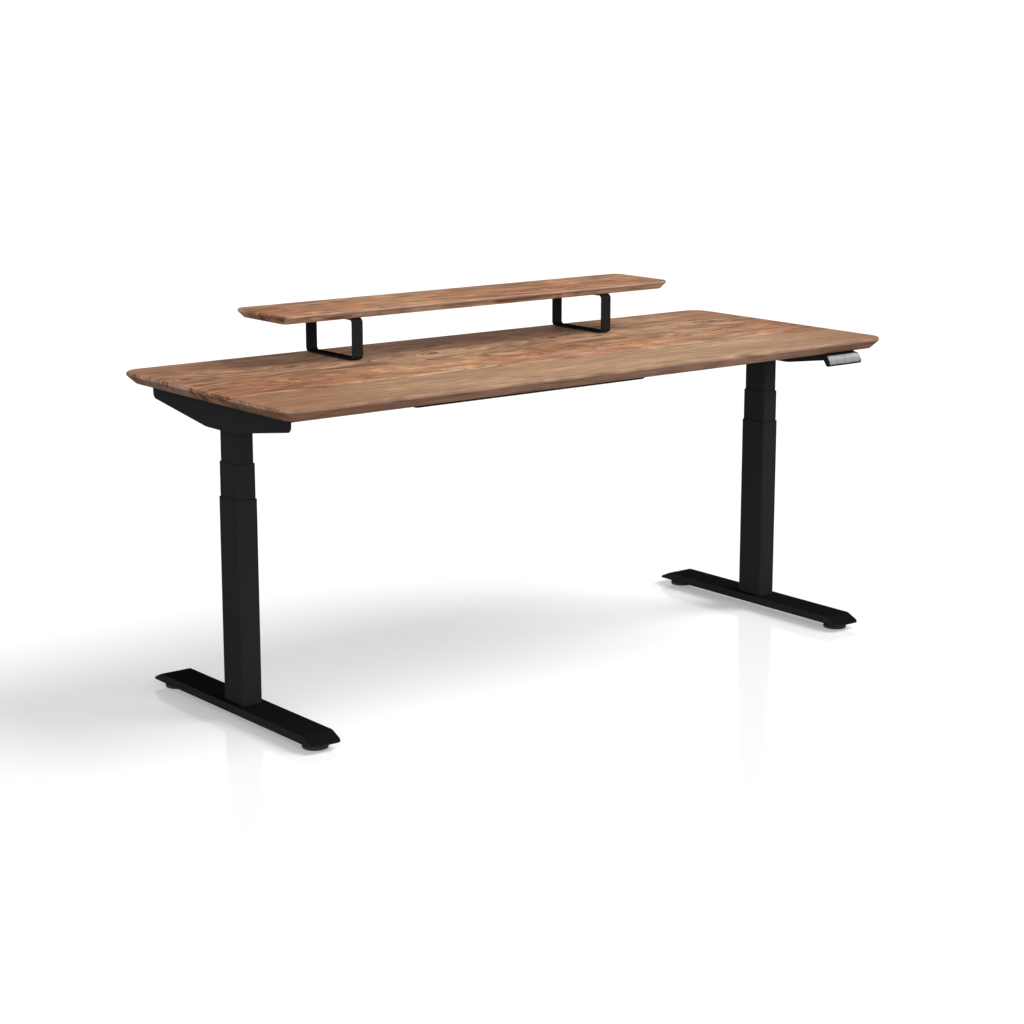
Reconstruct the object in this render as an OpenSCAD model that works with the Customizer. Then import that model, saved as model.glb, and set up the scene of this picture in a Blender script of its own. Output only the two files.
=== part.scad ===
// Height-adjustable desk: two three-stage lifting legs, a telescopic beam under a
// bevelled wooden desktop, a raised shelf on two steel loops, and a four-key handset.
// Millimetres. The origin is on the floor, midway between the legs. +X is the user's
// right, +Y points away from the user and +Z is up. The desk stands part way up.

/* [Desktop] */
// Length of the desktop
desktop_length = 1900; // [1860:10:2200]
// Width of the desktop, front to back
desktop_width = 750; // [700:10:900]
// Thickness of the desktop
desktop_thickness = 30; // [26:1:40]
// Height of the desktop's top above the floor as drawn
desktop_height = 798; // [760:1:1100]
// Plan radius of the desktop's corners
desktop_corner = 54; // [32:1:80]
// Upright band left above the bevel of the desktop's edge
desktop_band = 7; // [5:0.5:12]
// How far the bevel under the desktop's edge runs in
desktop_bevel = 24; // [12:1:30]
// Rounding along the top edges of both boards
edge_round = 2.5; // [1:0.5:3]

/* [Shelf] */
// Length of the shelf
shelf_length = 1260; // [1000:10:1600]
// Depth of the shelf, front to back
shelf_width = 226; // [220:2:300]
// Thickness of the shelf
shelf_thickness = 22.5; // [18:0.5:28]
// Plan radius of the shelf's corners
shelf_corner = 30; // [24:1:60]
// Upright band left above the bevel of the shelf's edge
shelf_band = 6; // [4:0.5:9]
// How far the bevel under the shelf's edge runs in
shelf_bevel = 16; // [8:1:20]
// Clear height between the desktop and the shelf
shelf_gap = 105.5; // [80:0.5:160]
// Distance from the desktop's back edge to the middle of the shelf
shelf_from_back = 125; // [118:1:180]
// Distance from the middle of the desk to the middle of each shelf loop
loop_from_middle = 405; // [300:1:480]
// Width of the loops' flat steel
loop_width = 32; // [20:1:40]
// Thickness of the loops' flat steel
loop_thickness = 4; // [3:0.5:6]
// Outside depth of a loop, front to back
loop_depth = 211; // [160:1:214]
// Outside radius of the loops' bends
loop_bend = 12; // [8:1:20]
// Thickness of the pads under the loops
loop_pad = 1; // [0.8:0.1:2]

/* [Legs] */
// Distance between the middles of the two legs
leg_spacing = 1698; // [1400:2:1730]
// Width of the lowest column along the desk
column_width = 55; // [46:1:60]
// Depth of the lowest column, front to back
column_depth = 85; // [70:1:100]
// Length of the lowest column
column_length = 495.8; // [460:0.2:520]
// Wall of all three tubes of a leg
tube_wall = 1.5; // [1.2:0.1:2]
// Gap between one tube's inside and the next tube's outside
tube_gap = 1; // [0.8:0.1:1.5]
// Corner radius outside the lowest column
column_corner = 5; // [4.5:0.5:7]
// Full stroke of the legs
stroke = 650; // [400:10:660]
// Length of the plastic glides between the tubes
glide_length = 40; // [20:1:60]
// Running clearance of the glides
glide_clearance = 0.3; // [0.2:0.05:0.4]

/* [Feet] */
// Length of a foot, front to back
foot_length = 720; // [600:5:760]
// Width of a foot
foot_width = 85; // [70:1:100]
// Height of a foot's steel channel
foot_height = 20.2; // [18:0.2:30]
// Height of the foot's channel above the floor
foot_lift = 17; // [12:0.2:20]
// Length of the slope at each end of a foot
foot_slope = 41.5; // [20:0.5:60]
// Height left at the tip of a foot
foot_tip = 2; // [2:0.5:8]
// Plan radius of the corners at a foot's tips
foot_corner = 14; // [6:1:16]
// Thickness of the feet's steel
foot_wall = 2.5; // [2:0.25:3]
// Distance from a foot's tip to the middle of its leveller
leveller_from_tip = 50; // [38:0.5:80]
// Radius of a leveller's pad
leveller_radius = 31; // [20:1:32]

/* [Frame] */
// Distance from a leg's middle to the outer face of its side bracket
bracket_from_leg = 46; // [43:1:50]
// Distance from the desktop's front edge to a side bracket's tip
bracket_setback = 70; // [70:1:120]
// Depth of a side bracket at its tips, from its top
bracket_tip = 30; // [20:1:40]
// Depth of a side bracket in the middle, from its top
bracket_drop = 67; // [60:1:90]
// Length of the level stretch along a side bracket's bottom
bracket_flat = 120; // [100:2:160]
// Width of the flange on top of a side bracket
bracket_flange = 30; // [26:1:34]
// Thickness of the side brackets
bracket_sheet = 3; // [2:0.5:4]
// Thickness of the rubber pads under the desktop
bracket_pad = 3; // [2:0.5:5]
// Length of the beam's centre tray
tray_length = 756; // [600:2:900]
// Outside width of the beam's centre tray
tray_width = 104; // [98:1:120]
// Outside height of the beam's centre tray
tray_height = 42; // [38:1:48]
// Thickness of the tray's steel
tray_sheet = 3; // [2:0.5:4]
// Depth of the tray's bottom below the desktop
tray_drop = 67; // [60:1:80]
// How far each rail reaches into the tray
rail_overlap = 200; // [120:5:280]
// Width of a rail's channel
rail_width = 20; // [16:1:21]
// Thickness of the rails' steel
rail_sheet = 2; // [1.5:0.5:3]
// Height of the gear housing
housing_height = 56; // [50:1:60]
// Depth of the gear housing, front to back
housing_depth = 96; // [90:1:110]
// Radius of the motor
motor_radius = 25; // [20:0.5:27]
// Length of the motor, with its end cap
motor_length = 118; // [90:1:150]

/* [Handset] */
// Distance from the desktop's right end to the handset's middle
handset_from_end = 155.5; // [100:1:400]
// Length of the handset
handset_length = 123; // [110:1:150]
// Height of the handset below the desktop
handset_drop = 32; // [30:0.5:36]
// Lean of the handset's face, in degrees from upright
handset_lean = 28.6; // [15:0.1:30]
// Width of the gap round each key
key_gap = 0.5; // [0.3:0.1:0.8]
// Travel of each key
key_travel = 1; // [0.6:0.1:1.2]

/* [Control box] */
// Length of the control box
box_length = 280; // [220:5:340]
// Width of the control box, front to back
box_width = 110; // [90:1:140]
// Height of the control box
box_height = 34; // [30:1:45]
// Distance from the middle of the desk to the middle of the control box
box_from_middle = 200; // [-300:10:400]

/* [Hidden] */
$fn = 64;
LEFT = -1;
RIGHT = 1;

// Colours
wood = [0.55, 0.40, 0.29];
steel_black = [0.10, 0.10, 0.11];
plastic_black = [0.06, 0.06, 0.07];
rubber_black = [0.05, 0.05, 0.05];
zinc = [0.72, 0.73, 0.75];
silver = [0.78, 0.78, 0.79];
nylon = [0.85, 0.84, 0.80];

// Heights along the desk
foot_top = foot_lift + foot_height;
column_top = foot_top + column_length;
underside = desktop_height - desktop_thickness;
flange_top = underside - bracket_pad;
housing_top = flange_top - bracket_sheet;
housing_bottom = housing_top - housing_height;
tray_bottom = underside - tray_drop;
shelf_bottom = desktop_height + shelf_gap;
leg_x = leg_spacing / 2;

// Columns: each tube is a wall and a gap smaller a side than the one round it
tube_step = tube_wall + tube_gap;
middle_size = [column_width - 2 * tube_step, column_depth - 2 * tube_step];
upper_size = middle_size - 2 * [tube_step, tube_step];
middle_corner = column_corner - tube_wall;
upper_corner = middle_corner - 0.5;
reveal = 10;
housing_rest_gap = 14;
lowest_height = column_top + reveal + housing_rest_gap + housing_height
    + bracket_sheet + bracket_pad + desktop_thickness;
extension = desktop_height - lowest_height;
base_plate = 8;
stack_gap = 8;
middle_bottom = foot_top + base_plate + stack_gap + extension / 2;
middle_top = column_top + reveal + extension / 2;
post_plate = 5;
upper_bottom = middle_bottom + post_plate + 5 + extension / 2;
tube_socket = 24;
upper_top = housing_bottom + tube_socket;
shoe_lip = 3;

// Spindle drive, all on each leg's axis
screw_radius = 5;
screw_flange = [14, 4];
drive_flats = 15;
drive_clearance = 0.4;
drive_bore = 5.9;
drive_nut_bore = 5.25;
drive_nut_length = 26;
drive_flange = [11.5, 4.3];
spindle_radius = 12;
spindle_nut_bore = 12.3;
post_radius = 15;
post_bore = 13;
nut_length = 16;
nut_rest_gap = 25;
neck_radius = 8;
neck_length = 38;
bearing_radius = 15;
bearing_length = 8;
block_length = 26;
turn_clearance = 0.3;
half_stroke = stroke / 2;
relative_up = half_stroke - extension / 2;
relative_down = extension / 2;
block_bottom = upper_top - block_length;
spindle_top = block_bottom - turn_clearance;
post_top = block_bottom - relative_down - nut_rest_gap;
spindle_bottom = post_top - nut_length - relative_up - 20;
drive_top = spindle_bottom + relative_up + 40;
screw_top = middle_bottom + relative_up + 40;

// Fasteners: radius and length of the shank, radius and height of the head
m6 = [3, 5.5, 4];
flat_head = 1.6;
hole_play = 0.3;
thread_play = 0.1;
wood_screw = [2.2, 4.6, 3];
wood_grip = 18;

// Side bracket, gear housing and beam
bracket_half = desktop_width / 2 - bracket_setback;
bracket_round = 15;
bracket_x = leg_x + bracket_from_leg;
housing_outer = bracket_x - bracket_sheet;
housing_inner = leg_x - 37;
housing_corner = 8;
motor_height = housing_bottom + motor_radius - 1;
rail_side = tray_width / 2 - tray_sheet - 0.2;
rail_bottom = tray_bottom + tray_sheet;
rail_top = tray_bottom + tray_height - tray_sheet;
end_plate = 3;

// Handset: the face lies in a local frame, with x along the desk and y into the case
handset_x = desktop_length / 2 - handset_from_end;
lower_front = desktop_width / 2 - desktop_bevel;
case_bottom = underside - handset_drop;
case_rounds = [3, 11];
key_row = [handset_length - 7, 25];
key_rounds = [2, 9.5];
key_shift = 1.25;
key_thick = 3;
plunger = [2, 0.6];
dome = [3, 0.8];
board_thick = 1.6;
board_y = key_thick + plunger[1] + key_travel + 0.3 + dome[1];
pocket_depth = board_y + board_thick;
face_mid_y = -(lower_front + 14.5);
face_mid_z = underside - 15.2;
face_half = key_row[1] / 2 + 1.2;
face_sunk = 0.4;
case_top = underside - 2;
mount_depth = 42;
mount_thick = 6;

// Rounded rectangle centred on the origin
module rounded_rect(size, radius) {
    union() {
        square([size[0] - 2 * radius, size[1]], center = true);
        square([size[0], size[1] - 2 * radius], center = true);
        for (x = [-1, 1], y = [-1, 1])
            translate([x * (size[0] / 2 - radius), y * (size[1] / 2 - radius)]) circle(r = radius);
    }
}

// Rectangle centred on the origin, with one radius at its left corners and one at its right
module two_rounds(size, rounds) {
    longer = size + [size[0], 0];
    intersection() {
        translate([size[0] / 2, 0]) rounded_rect(longer, rounds[0]);
        translate([-size[0] / 2, 0]) rounded_rect(longer, rounds[1]);
    }
}

// Upright prism of a rounded rectangle, from one height to another
module upright(size, radius, low, high) {
    translate([0, 0, low]) linear_extrude(high - low) rounded_rect(size, radius);
}

// Ring between two rounded rectangles, from one height to another
module ring(outer, outer_r, inner, inner_r, low, high) {
    translate([0, 0, low]) linear_extrude(high - low) difference() {
        rounded_rect(outer, outer_r);
        rounded_rect(inner, inner_r);
    }
}

// Children drawn for the right side, mirrored for the left
module on_side(side) {
    if (side < 0) mirror([1, 0, 0]) children();
    else children();
}

// Children on the axis of one leg
module at_leg(side) {
    on_side(side) translate([leg_x, 0, 0]) children();
}

// Points of an arc round a centre, between two angles
function arc(centre, radius, from, to, steps) =
    [for (i = [0 : steps]) let (a = from + (to - from) * i / steps)
        centre + radius * [cos(a), sin(a)]];

// Edge of a board from its middle plane outwards: bevel below, round above
function board_edge(reach, thickness, bevel, band) = concat(
    [[0, 0], [reach - bevel, 0], [reach, thickness - band]],
    arc([reach - edge_round, thickness - edge_round], edge_round, 0, 90, 4),
    [[0, thickness]]
);

// Board with a bevelled underside and rounded corners, its underside at z = 0
module board(size, thickness, corner, bevel, band) {
    half = size / 2;
    union() {
        for (turn = [0, 180]) rotate([0, 0, turn]) {
            translate([0, half[1] - corner, 0]) rotate([90, 0, 0])
                linear_extrude(size[1] - 2 * corner)
                    polygon(board_edge(half[0], thickness, bevel, band));
            translate([-(half[0] - corner), 0, 0]) rotate([90, 0, 90])
                linear_extrude(size[0] - 2 * corner)
                    polygon(board_edge(half[1], thickness, bevel, band));
        }
        for (x = [-1, 1], y = [-1, 1])
            translate([x * (half[0] - corner), y * (half[1] - corner), 0])
                rotate_extrude() polygon(board_edge(corner, thickness, bevel, band));
    }
}

// Pan-headed screw along +Z, its head below z = 0
module screw(shank, head, head_height, length) {
    union() {
        cylinder(r = shank, h = length);
        translate([0, 0, -head_height]) cylinder(r = head, h = head_height);
    }
}

// Places of the wood screws through the side brackets' flanges
bracket_screw_x = bracket_x - bracket_flange / 2 - 3;
bracket_screw_y = [for (f = [-0.87, -0.43, 0.43, 0.87]) f * bracket_half];
module at_bracket_screws() {
    for (side = [LEFT, RIGHT], y = bracket_screw_y)
        translate([side * bracket_screw_x, y, 0]) children();
}

// Places of the wood screws through the control box's ears
box_y = tray_width / 2 + 12 + box_width / 2;
box_ear = 14;
module at_box_screws() {
    for (x = [-1, 1], y = [-1, 1])
        translate([box_from_middle + x * (box_length / 2 + box_ear / 2),
            box_y + y * (box_width / 2 - 16), 0]) children();
}

// Places of the wood screws that hold the handset
module at_handset_screws() {
    for (x = [-1, 1])
        translate([handset_x + x * 36, -lower_front + mount_depth - 12, 0]) children();
}

// Places of the screws that hold the shelf on its loops
module at_shelf_screws() {
    for (x = [-1, 1], y = [-1, 1])
        translate([x * loop_from_middle, shelf_y + y * loop_depth * 0.3, 0]) children();
}
shelf_y = desktop_width / 2 - shelf_from_back;

// Desktop with the pilot holes of its screws
module desktop() {
    color(wood) difference() {
        translate([0, 0, underside])
            board([desktop_length, desktop_width], desktop_thickness, desktop_corner,
                desktop_bevel, desktop_band);
        translate([0, 0, underside - 1]) {
            at_bracket_screws() pilot();
            at_box_screws() pilot();
            at_handset_screws() pilot();
        }
    }
}
module pilot() {
    cylinder(r = wood_screw[0] + thread_play, h = wood_grip + 2, $fn = 24);
}

// Wood screw from below, through a sheet of the given thickness into a board
module wood_screw_in(sheet) {
    translate([0, 0, -sheet])
        screw(wood_screw[0], wood_screw[1], wood_screw[2], sheet + wood_grip, $fn = 24);
}
module desktop_screws() {
    color(zinc) translate([0, 0, underside])
        at_bracket_screws() wood_screw_in(bracket_sheet + bracket_pad);
}
module control_box_screws() {
    color(zinc) translate([0, 0, underside]) at_box_screws() wood_screw_in(box_plate);
}
module handset_screws() {
    color(zinc) translate([0, 0, underside]) at_handset_screws() wood_screw_in(mount_thick);
}

// Shelf board with the pilot holes of its screws
module shelf_board() {
    color(wood) difference() {
        translate([0, shelf_y, shelf_bottom])
            board([shelf_length, shelf_width], shelf_thickness, shelf_corner, shelf_bevel,
                shelf_band);
        translate([0, 0, shelf_bottom - 1]) at_shelf_screws()
            cylinder(r = wood_screw[0] + thread_play, h = shelf_grip + 1, $fn = 24);
    }
}
shelf_grip = 12;
module shelf_screws() {
    color(zinc) translate([0, 0, shelf_bottom - loop_thickness]) at_shelf_screws()
        screw(wood_screw[0], wood_screw[1], wood_screw[2], loop_thickness + shelf_grip - 1,
            $fn = 24);
}

// Shelf loop: flat steel bent into a closed rounded rectangle
module shelf_loop(side) {
    height = shelf_gap - loop_pad;
    outer = [loop_depth, height];
    inner = outer - 2 * [loop_thickness, loop_thickness];
    color(steel_black) difference() {
        translate([side * loop_from_middle - loop_width / 2, shelf_y,
            desktop_height + loop_pad + height / 2])
            rotate([90, 0, 90]) linear_extrude(loop_width) difference() {
                rounded_rect(outer, loop_bend);
                rounded_rect(inner, loop_bend - loop_thickness);
            }
        translate([0, 0, shelf_bottom - 2 * loop_thickness]) at_shelf_screws()
            cylinder(r = wood_screw[0] + hole_play, h = 3 * loop_thickness, $fn = 24);
    }
}
module shelf_loop_pads() {
    color(rubber_black)
        for (x = [-1, 1], y = [-1, 1])
            translate([x * loop_from_middle, shelf_y + y * loop_depth * 0.36, 0])
                upright([loop_width - 4, 34], 4, desktop_height, desktop_height + loop_pad);
}

// Foot: a folded steel channel, open below, with a slope at each end
module foot_profile(inset, below) {
    rotate([90, 0, 90]) translate([0, 0, -(foot_width / 2 - inset)])
        linear_extrude(foot_width - 2 * inset) polygon([
            [-(foot_length / 2 - inset), foot_lift - below],
            [-(foot_length / 2 - inset), foot_lift + foot_tip - inset * 0.7],
            [-(foot_length / 2 - foot_slope), foot_top - inset],
            [foot_length / 2 - foot_slope, foot_top - inset],
            [foot_length / 2 - inset, foot_lift + foot_tip - inset * 0.7],
            [foot_length / 2 - inset, foot_lift - below]
        ]);
}
module foot(side) {
    color(steel_black) at_leg(side) difference() {
        intersection() {
            foot_profile(0, 0);
            upright([foot_width, foot_length], foot_corner, foot_lift - 1, foot_top + 1);
        }
        intersection() {
            foot_profile(foot_wall, 2);
            upright([foot_width, foot_length] - 2 * [foot_wall, foot_wall],
                foot_corner - foot_wall, foot_lift - 3, foot_top + 1);
        }
        at_foot_bolts() translate([0, 0, foot_top - foot_wall - 1])
            cylinder(r = m6[0] + hole_play, h = foot_wall + 2, $fn = 32);
    }
}

// Places of the bolts that hold a column on its foot
bolt_offset = [column_width / 2 - 11, column_depth / 2 - 12];
module at_foot_bolts() {
    for (x = [-1, 1], y = [-1, 1])
        translate([x * bolt_offset[0], y * bolt_offset[1], 0]) children();
}
module foot_bolts() {
    color(zinc) for (side = [LEFT, RIGHT]) at_leg(side) at_foot_bolts()
        translate([0, 0, foot_top - foot_wall])
            screw(m6[0], m6[1], m6[2], foot_wall + base_plate, $fn = 32);
}
module column_base_plates() {
    size = [column_width, column_depth] - 2 * [tube_wall, tube_wall];
    color(zinc) for (side = [LEFT, RIGHT]) at_leg(side) difference() {
        upright(size, column_corner - tube_wall, foot_top, foot_top + base_plate);
        at_foot_bolts() translate([0, 0, foot_top - 1])
            cylinder(r = m6[0] + thread_play, h = base_plate + 2, $fn = 32);
    }
}

// Levellers, with the nut plates that hold them in the feet
leveller_stud = 4;
leveller_disc = 8;
leveller_neck = 13;
nut_plate = 3;
nut_plate_bottom = foot_lift + 7;
leveller_y = foot_length / 2 - leveller_from_tip;
slope_run = max(0, leveller_y + leveller_stud - (foot_length / 2 - foot_slope));
slope_drop = slope_run * (foot_height - foot_tip) / (foot_slope - foot_wall);
stud_top = foot_top - foot_wall - 2 - slope_drop;
module at_leveller(side, end) {
    at_leg(side) translate([0, end * leveller_y, 0]) children();
}
module leveller(side, end) {
    shoulder = foot_lift - 1.5;
    color(rubber_black) at_leveller(side, end) rotate_extrude() polygon([
        [0, 0], [leveller_radius - 2, 0], [leveller_radius, 2],
        [leveller_radius, leveller_disc - 1.5], [leveller_radius - 2.5, leveller_disc],
        [leveller_neck, leveller_disc], [leveller_neck, shoulder],
        [leveller_stud, shoulder], [leveller_stud, stud_top], [0, stud_top]
    ]);
}
module leveller_nuts() {
    color(zinc) for (side = [LEFT, RIGHT], end = [-1, 1]) at_leveller(side, end)
        difference() {
            union() {
                translate([-(foot_width / 2 - foot_wall), -15, nut_plate_bottom])
                    cube([foot_width - 2 * foot_wall, 30, nut_plate]);
                translate([0, 0, nut_plate_bottom - 4]) cylinder(r = 8, h = 5, $fn = 6);
            }
            translate([0, 0, nut_plate_bottom - 6])
                cylinder(r = leveller_stud + turn_clearance, h = nut_plate + 8, $fn = 32);
        }
}

// Lowest column and the glide inside its top
column_inner = [column_width, column_depth] - 2 * [tube_wall, tube_wall];
module lower_column(side) {
    color(steel_black) at_leg(side)
        ring([column_width, column_depth], column_corner, column_inner,
            column_corner - tube_wall, foot_top, column_top);
}
play = 2 * [glide_clearance, glide_clearance];
module column_top_glides() {
    color(plastic_black) for (side = [LEFT, RIGHT]) at_leg(side)
        ring(column_inner, column_corner - tube_wall, middle_size + play, middle_corner,
            column_top - glide_length, column_top - 0.3);
}

// Screw that stands fixed on the base plate of a column
module base_screws() {
    low = foot_top + base_plate;
    color(zinc) for (side = [LEFT, RIGHT]) at_leg(side) union() {
        translate([0, 0, low]) cylinder(r = screw_flange[0], h = screw_flange[1]);
        translate([0, 0, low]) cylinder(r = screw_radius, h = screw_top - low);
    }
}

// Middle tube, its two glides, and the post that carries the spindle's nut
middle_inner = middle_size - 2 * [tube_wall, tube_wall];
upper_inner = upper_size - 2 * [tube_wall, tube_wall];
module middle_tube(side) {
    color(steel_black) at_leg(side)
        ring(middle_size, middle_corner, middle_inner, middle_corner - tube_wall,
            middle_bottom, middle_top);
}

// Shoe round the bottom of a tube, with a lip under the tube's wall
module shoe(outer, tube, tube_r, inner, low) {
    union() {
        ring(outer, tube_r, tube, tube_r, low - shoe_lip, low + glide_length - shoe_lip);
        ring(outer, tube_r, inner, tube_r - tube_wall, low - shoe_lip, low);
    }
}
module middle_glides(side) {
    color(plastic_black) at_leg(side) {
        shoe(column_inner - play, middle_size, middle_corner, middle_inner, middle_bottom);
        ring(middle_inner, middle_corner - tube_wall, upper_size + play, middle_corner - tube_wall,
            middle_top - glide_length, middle_top - 0.3);
    }
}
module nut_post(side) {
    plate_top = middle_bottom + post_plate;
    color(zinc) at_leg(side) difference() {
        union() {
            upright(middle_inner, middle_corner - tube_wall, middle_bottom, plate_top);
            translate([0, 0, middle_bottom])
                cylinder(r = post_radius, h = post_top - nut_length - middle_bottom);
        }
        translate([0, 0, plate_top]) cylinder(r = post_bore, h = post_top - plate_top);
        translate([0, 0, middle_bottom - 1])
            cylinder(r = screw_radius + 2 * turn_clearance, h = post_plate + 2);
    }
}
module spindle_nut(side) {
    color(nylon) at_leg(side) translate([0, 0, post_top - nut_length]) difference() {
        cylinder(r = post_radius, h = nut_length);
        translate([0, 0, -1]) cylinder(r = spindle_nut_bore, h = nut_length + 2);
    }
}

// Hexagonal drive tube: turns in the middle stage and runs on the fixed screw
module hexagon(flats, height) {
    cylinder(r = flats / 2 / cos(30), h = height, $fn = 6);
}
module drive_tube(side) {
    low = middle_bottom + post_plate + turn_clearance;
    color(zinc) at_leg(side) difference() {
        translate([0, 0, low]) union() {
            hexagon(drive_flats, drive_top - low);
            cylinder(r = drive_flange[0], h = drive_flange[1]);
        }
        translate([0, 0, low - 1]) cylinder(r = drive_nut_bore, h = drive_nut_length + 2);
        translate([0, 0, low + drive_nut_length]) cylinder(r = drive_bore, h = drive_top - low);
    }
}

// Hollow spindle: turned by the gear, it runs in the nut and turns the drive tube
module spindle(side) {
    color(zinc) at_leg(side) difference() {
        union() {
            translate([0, 0, spindle_bottom])
                cylinder(r = spindle_radius, h = spindle_top - spindle_bottom);
            translate([0, 0, spindle_top - 1]) cylinder(r = neck_radius, h = neck_length + 1);
        }
        translate([0, 0, spindle_bottom - 1])
            hexagon(drive_flats + 2 * drive_clearance, spindle_top - spindle_bottom - 9);
    }
}

// Upper tube with its shoe, and the block and bearing that hold the spindle
module upper_tube(side) {
    color(steel_black) at_leg(side)
        ring(upper_size, upper_corner, upper_inner, upper_corner - tube_wall, upper_bottom,
            upper_top);
}
module upper_tube_shoes() {
    color(plastic_black) for (side = [LEFT, RIGHT]) at_leg(side)
        shoe(middle_inner - play, upper_size, upper_corner, upper_inner, upper_bottom);
}
module bearing_blocks() {
    color(zinc) for (side = [LEFT, RIGHT]) at_leg(side) difference() {
        upright(upper_inner, upper_corner - tube_wall, block_bottom, upper_top);
        translate([0, 0, block_bottom - 1]) cylinder(r = bearing_radius, h = bearing_length + 1);
        translate([0, 0, block_bottom - 1])
            cylinder(r = neck_radius + 2 * turn_clearance, h = block_length + 2);
    }
}
module spindle_bearings() {
    color(zinc) for (side = [LEFT, RIGHT]) at_leg(side) translate([0, 0, block_bottom])
        difference() {
            cylinder(r = bearing_radius, h = bearing_length);
            translate([0, 0, -1])
                cylinder(r = neck_radius + turn_clearance, h = bearing_length + 2);
        }
}

// Gear housing: a cast box that the upper tube plugs into, with the motor on its side
module gear_housing(side) {
    width = housing_outer - housing_inner;
    color(steel_black) on_side(side) difference() {
        union() {
            translate([(housing_outer + housing_inner) / 2, 0, 0])
                upright([width, housing_depth], housing_corner, housing_bottom, housing_top);
            translate([housing_inner - end_plate - 3, 0, motor_height]) rotate([0, 90, 0])
                cylinder(r = motor_radius, h = end_plate + 4);
        }
        translate([leg_x, 0, 0])
            upright(upper_size, upper_corner, housing_bottom - 1, upper_top);
        translate([leg_x, 0, upper_top - 1])
            cylinder(r = neck_radius + 2 * turn_clearance, h = neck_length - block_length + 5);
        at_flange_screws() translate([0, 0, housing_top - 14])
            cylinder(r = m6[0] + thread_play, h = 16, $fn = 32);
        at_end_plate_screws() cylinder(r = m6[0] + thread_play, h = 14, $fn = 32);
    }
}
module motor(side) {
    cap = 14;
    start = housing_inner - end_plate - 3;
    color(plastic_black) on_side(side) translate([start, 0, motor_height]) rotate([0, -90, 0])
        union() {
            cylinder(r = motor_radius, h = motor_length - cap);
            cylinder(r = motor_radius - 3, h = motor_length);
            translate([0, 0, motor_length - 1]) cylinder(r = 6, h = 4);
        }
}

// Side bracket: a folded sheet that tapers from the leg to its two tips
module side_bracket(side) {
    tip = flange_top - bracket_tip;
    low = flange_top - bracket_drop;
    half_outline = concat(
        [[0, flange_top], [0, low], [bracket_flat / 2 - 8, low],
            [bracket_flat / 2, low + 0.4], [bracket_flat / 2 + 8, low + 1.7]],
        arc([bracket_half - bracket_round, tip + bracket_round], bracket_round, -81, 0, 8),
        [[bracket_half, flange_top]]
    );
    color(steel_black) on_side(side) difference() {
        union() {
            for (m = [0, 1]) mirror([0, m, 0])
                translate([bracket_x - bracket_sheet, 0, 0]) rotate([90, 0, 90])
                    linear_extrude(bracket_sheet) polygon(half_outline);
            translate([bracket_x - bracket_flange, -bracket_half, flange_top - bracket_sheet])
                cube([bracket_flange, 2 * bracket_half, bracket_sheet]);
        }
        for (y = bracket_screw_y)
            translate([bracket_screw_x, y, flange_top - bracket_sheet - 1])
                cylinder(r = wood_screw[0] + hole_play, h = bracket_sheet + 2, $fn = 24);
        at_flange_screws() translate([0, 0, housing_top - 1])
            cylinder(r = m6[0] + hole_play, h = bracket_sheet + 2, $fn = 32);
    }
}
module bracket_pads() {
    size = [bracket_flange - 4, 40];
    color(rubber_black) at_bracket_screws() difference() {
        upright(size, 4, flange_top, underside);
        translate([0, 0, flange_top - 1])
            cylinder(r = wood_screw[0] + hole_play, h = bracket_pad + 2, $fn = 24);
    }
}

// Beam: a centre tray with turned-in lips, and a welded pair of channels at each leg
module beam_tray() {
    half = tray_width / 2;
    lip = 9;
    cut = [11, 5];
    color(steel_black) difference() {
        translate([-tray_length / 2, 0, tray_bottom]) rotate([90, 0, 90])
            linear_extrude(tray_length) difference() {
                translate([-half, 0]) square([tray_width, tray_height]);
                translate([-half + tray_sheet, tray_sheet])
                    square([tray_width - 2 * tray_sheet, tray_height - 2 * tray_sheet]);
                translate([-half + tray_sheet + lip, tray_sheet])
                    square([tray_width - 2 * (tray_sheet + lip), tray_height]);
            }
        for (side = [LEFT, RIGHT]) on_side(side)
            translate([tray_length / 2, half + 1, tray_bottom]) rotate([90, 0, 0])
                linear_extrude(tray_width + 2)
                    polygon([[-cut[0], -1], [-cut[0], 0], [0, cut[1]], [1, cut[1]], [1, -1]]);
        at_tray_screws() cylinder(r = m6[0] + hole_play, h = 8, $fn = 32);
    }
}

// Places of the screws through the tray's walls, pointing inwards
module at_tray_screws() {
    for (side = [LEFT, RIGHT], end = [-1, 1], f = [0.2, 0.7])
        translate([side * (tray_length / 2 - rail_overlap * f), end * (tray_width / 2),
            (rail_bottom + rail_top) / 2])
            rotate([end * 90, 0, 0]) children();
}

// Places of the screws through a rail's end plate, pointing into the housing
module at_end_plate_screws() {
    for (y = [-1, 1], z = [0, 1])
        translate([housing_inner - 0.01, y * (rail_side - 8),
            rail_bottom + 9 + z * (housing_top - rail_bottom - 22)])
            rotate([0, 90, 0]) children();
}

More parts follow.
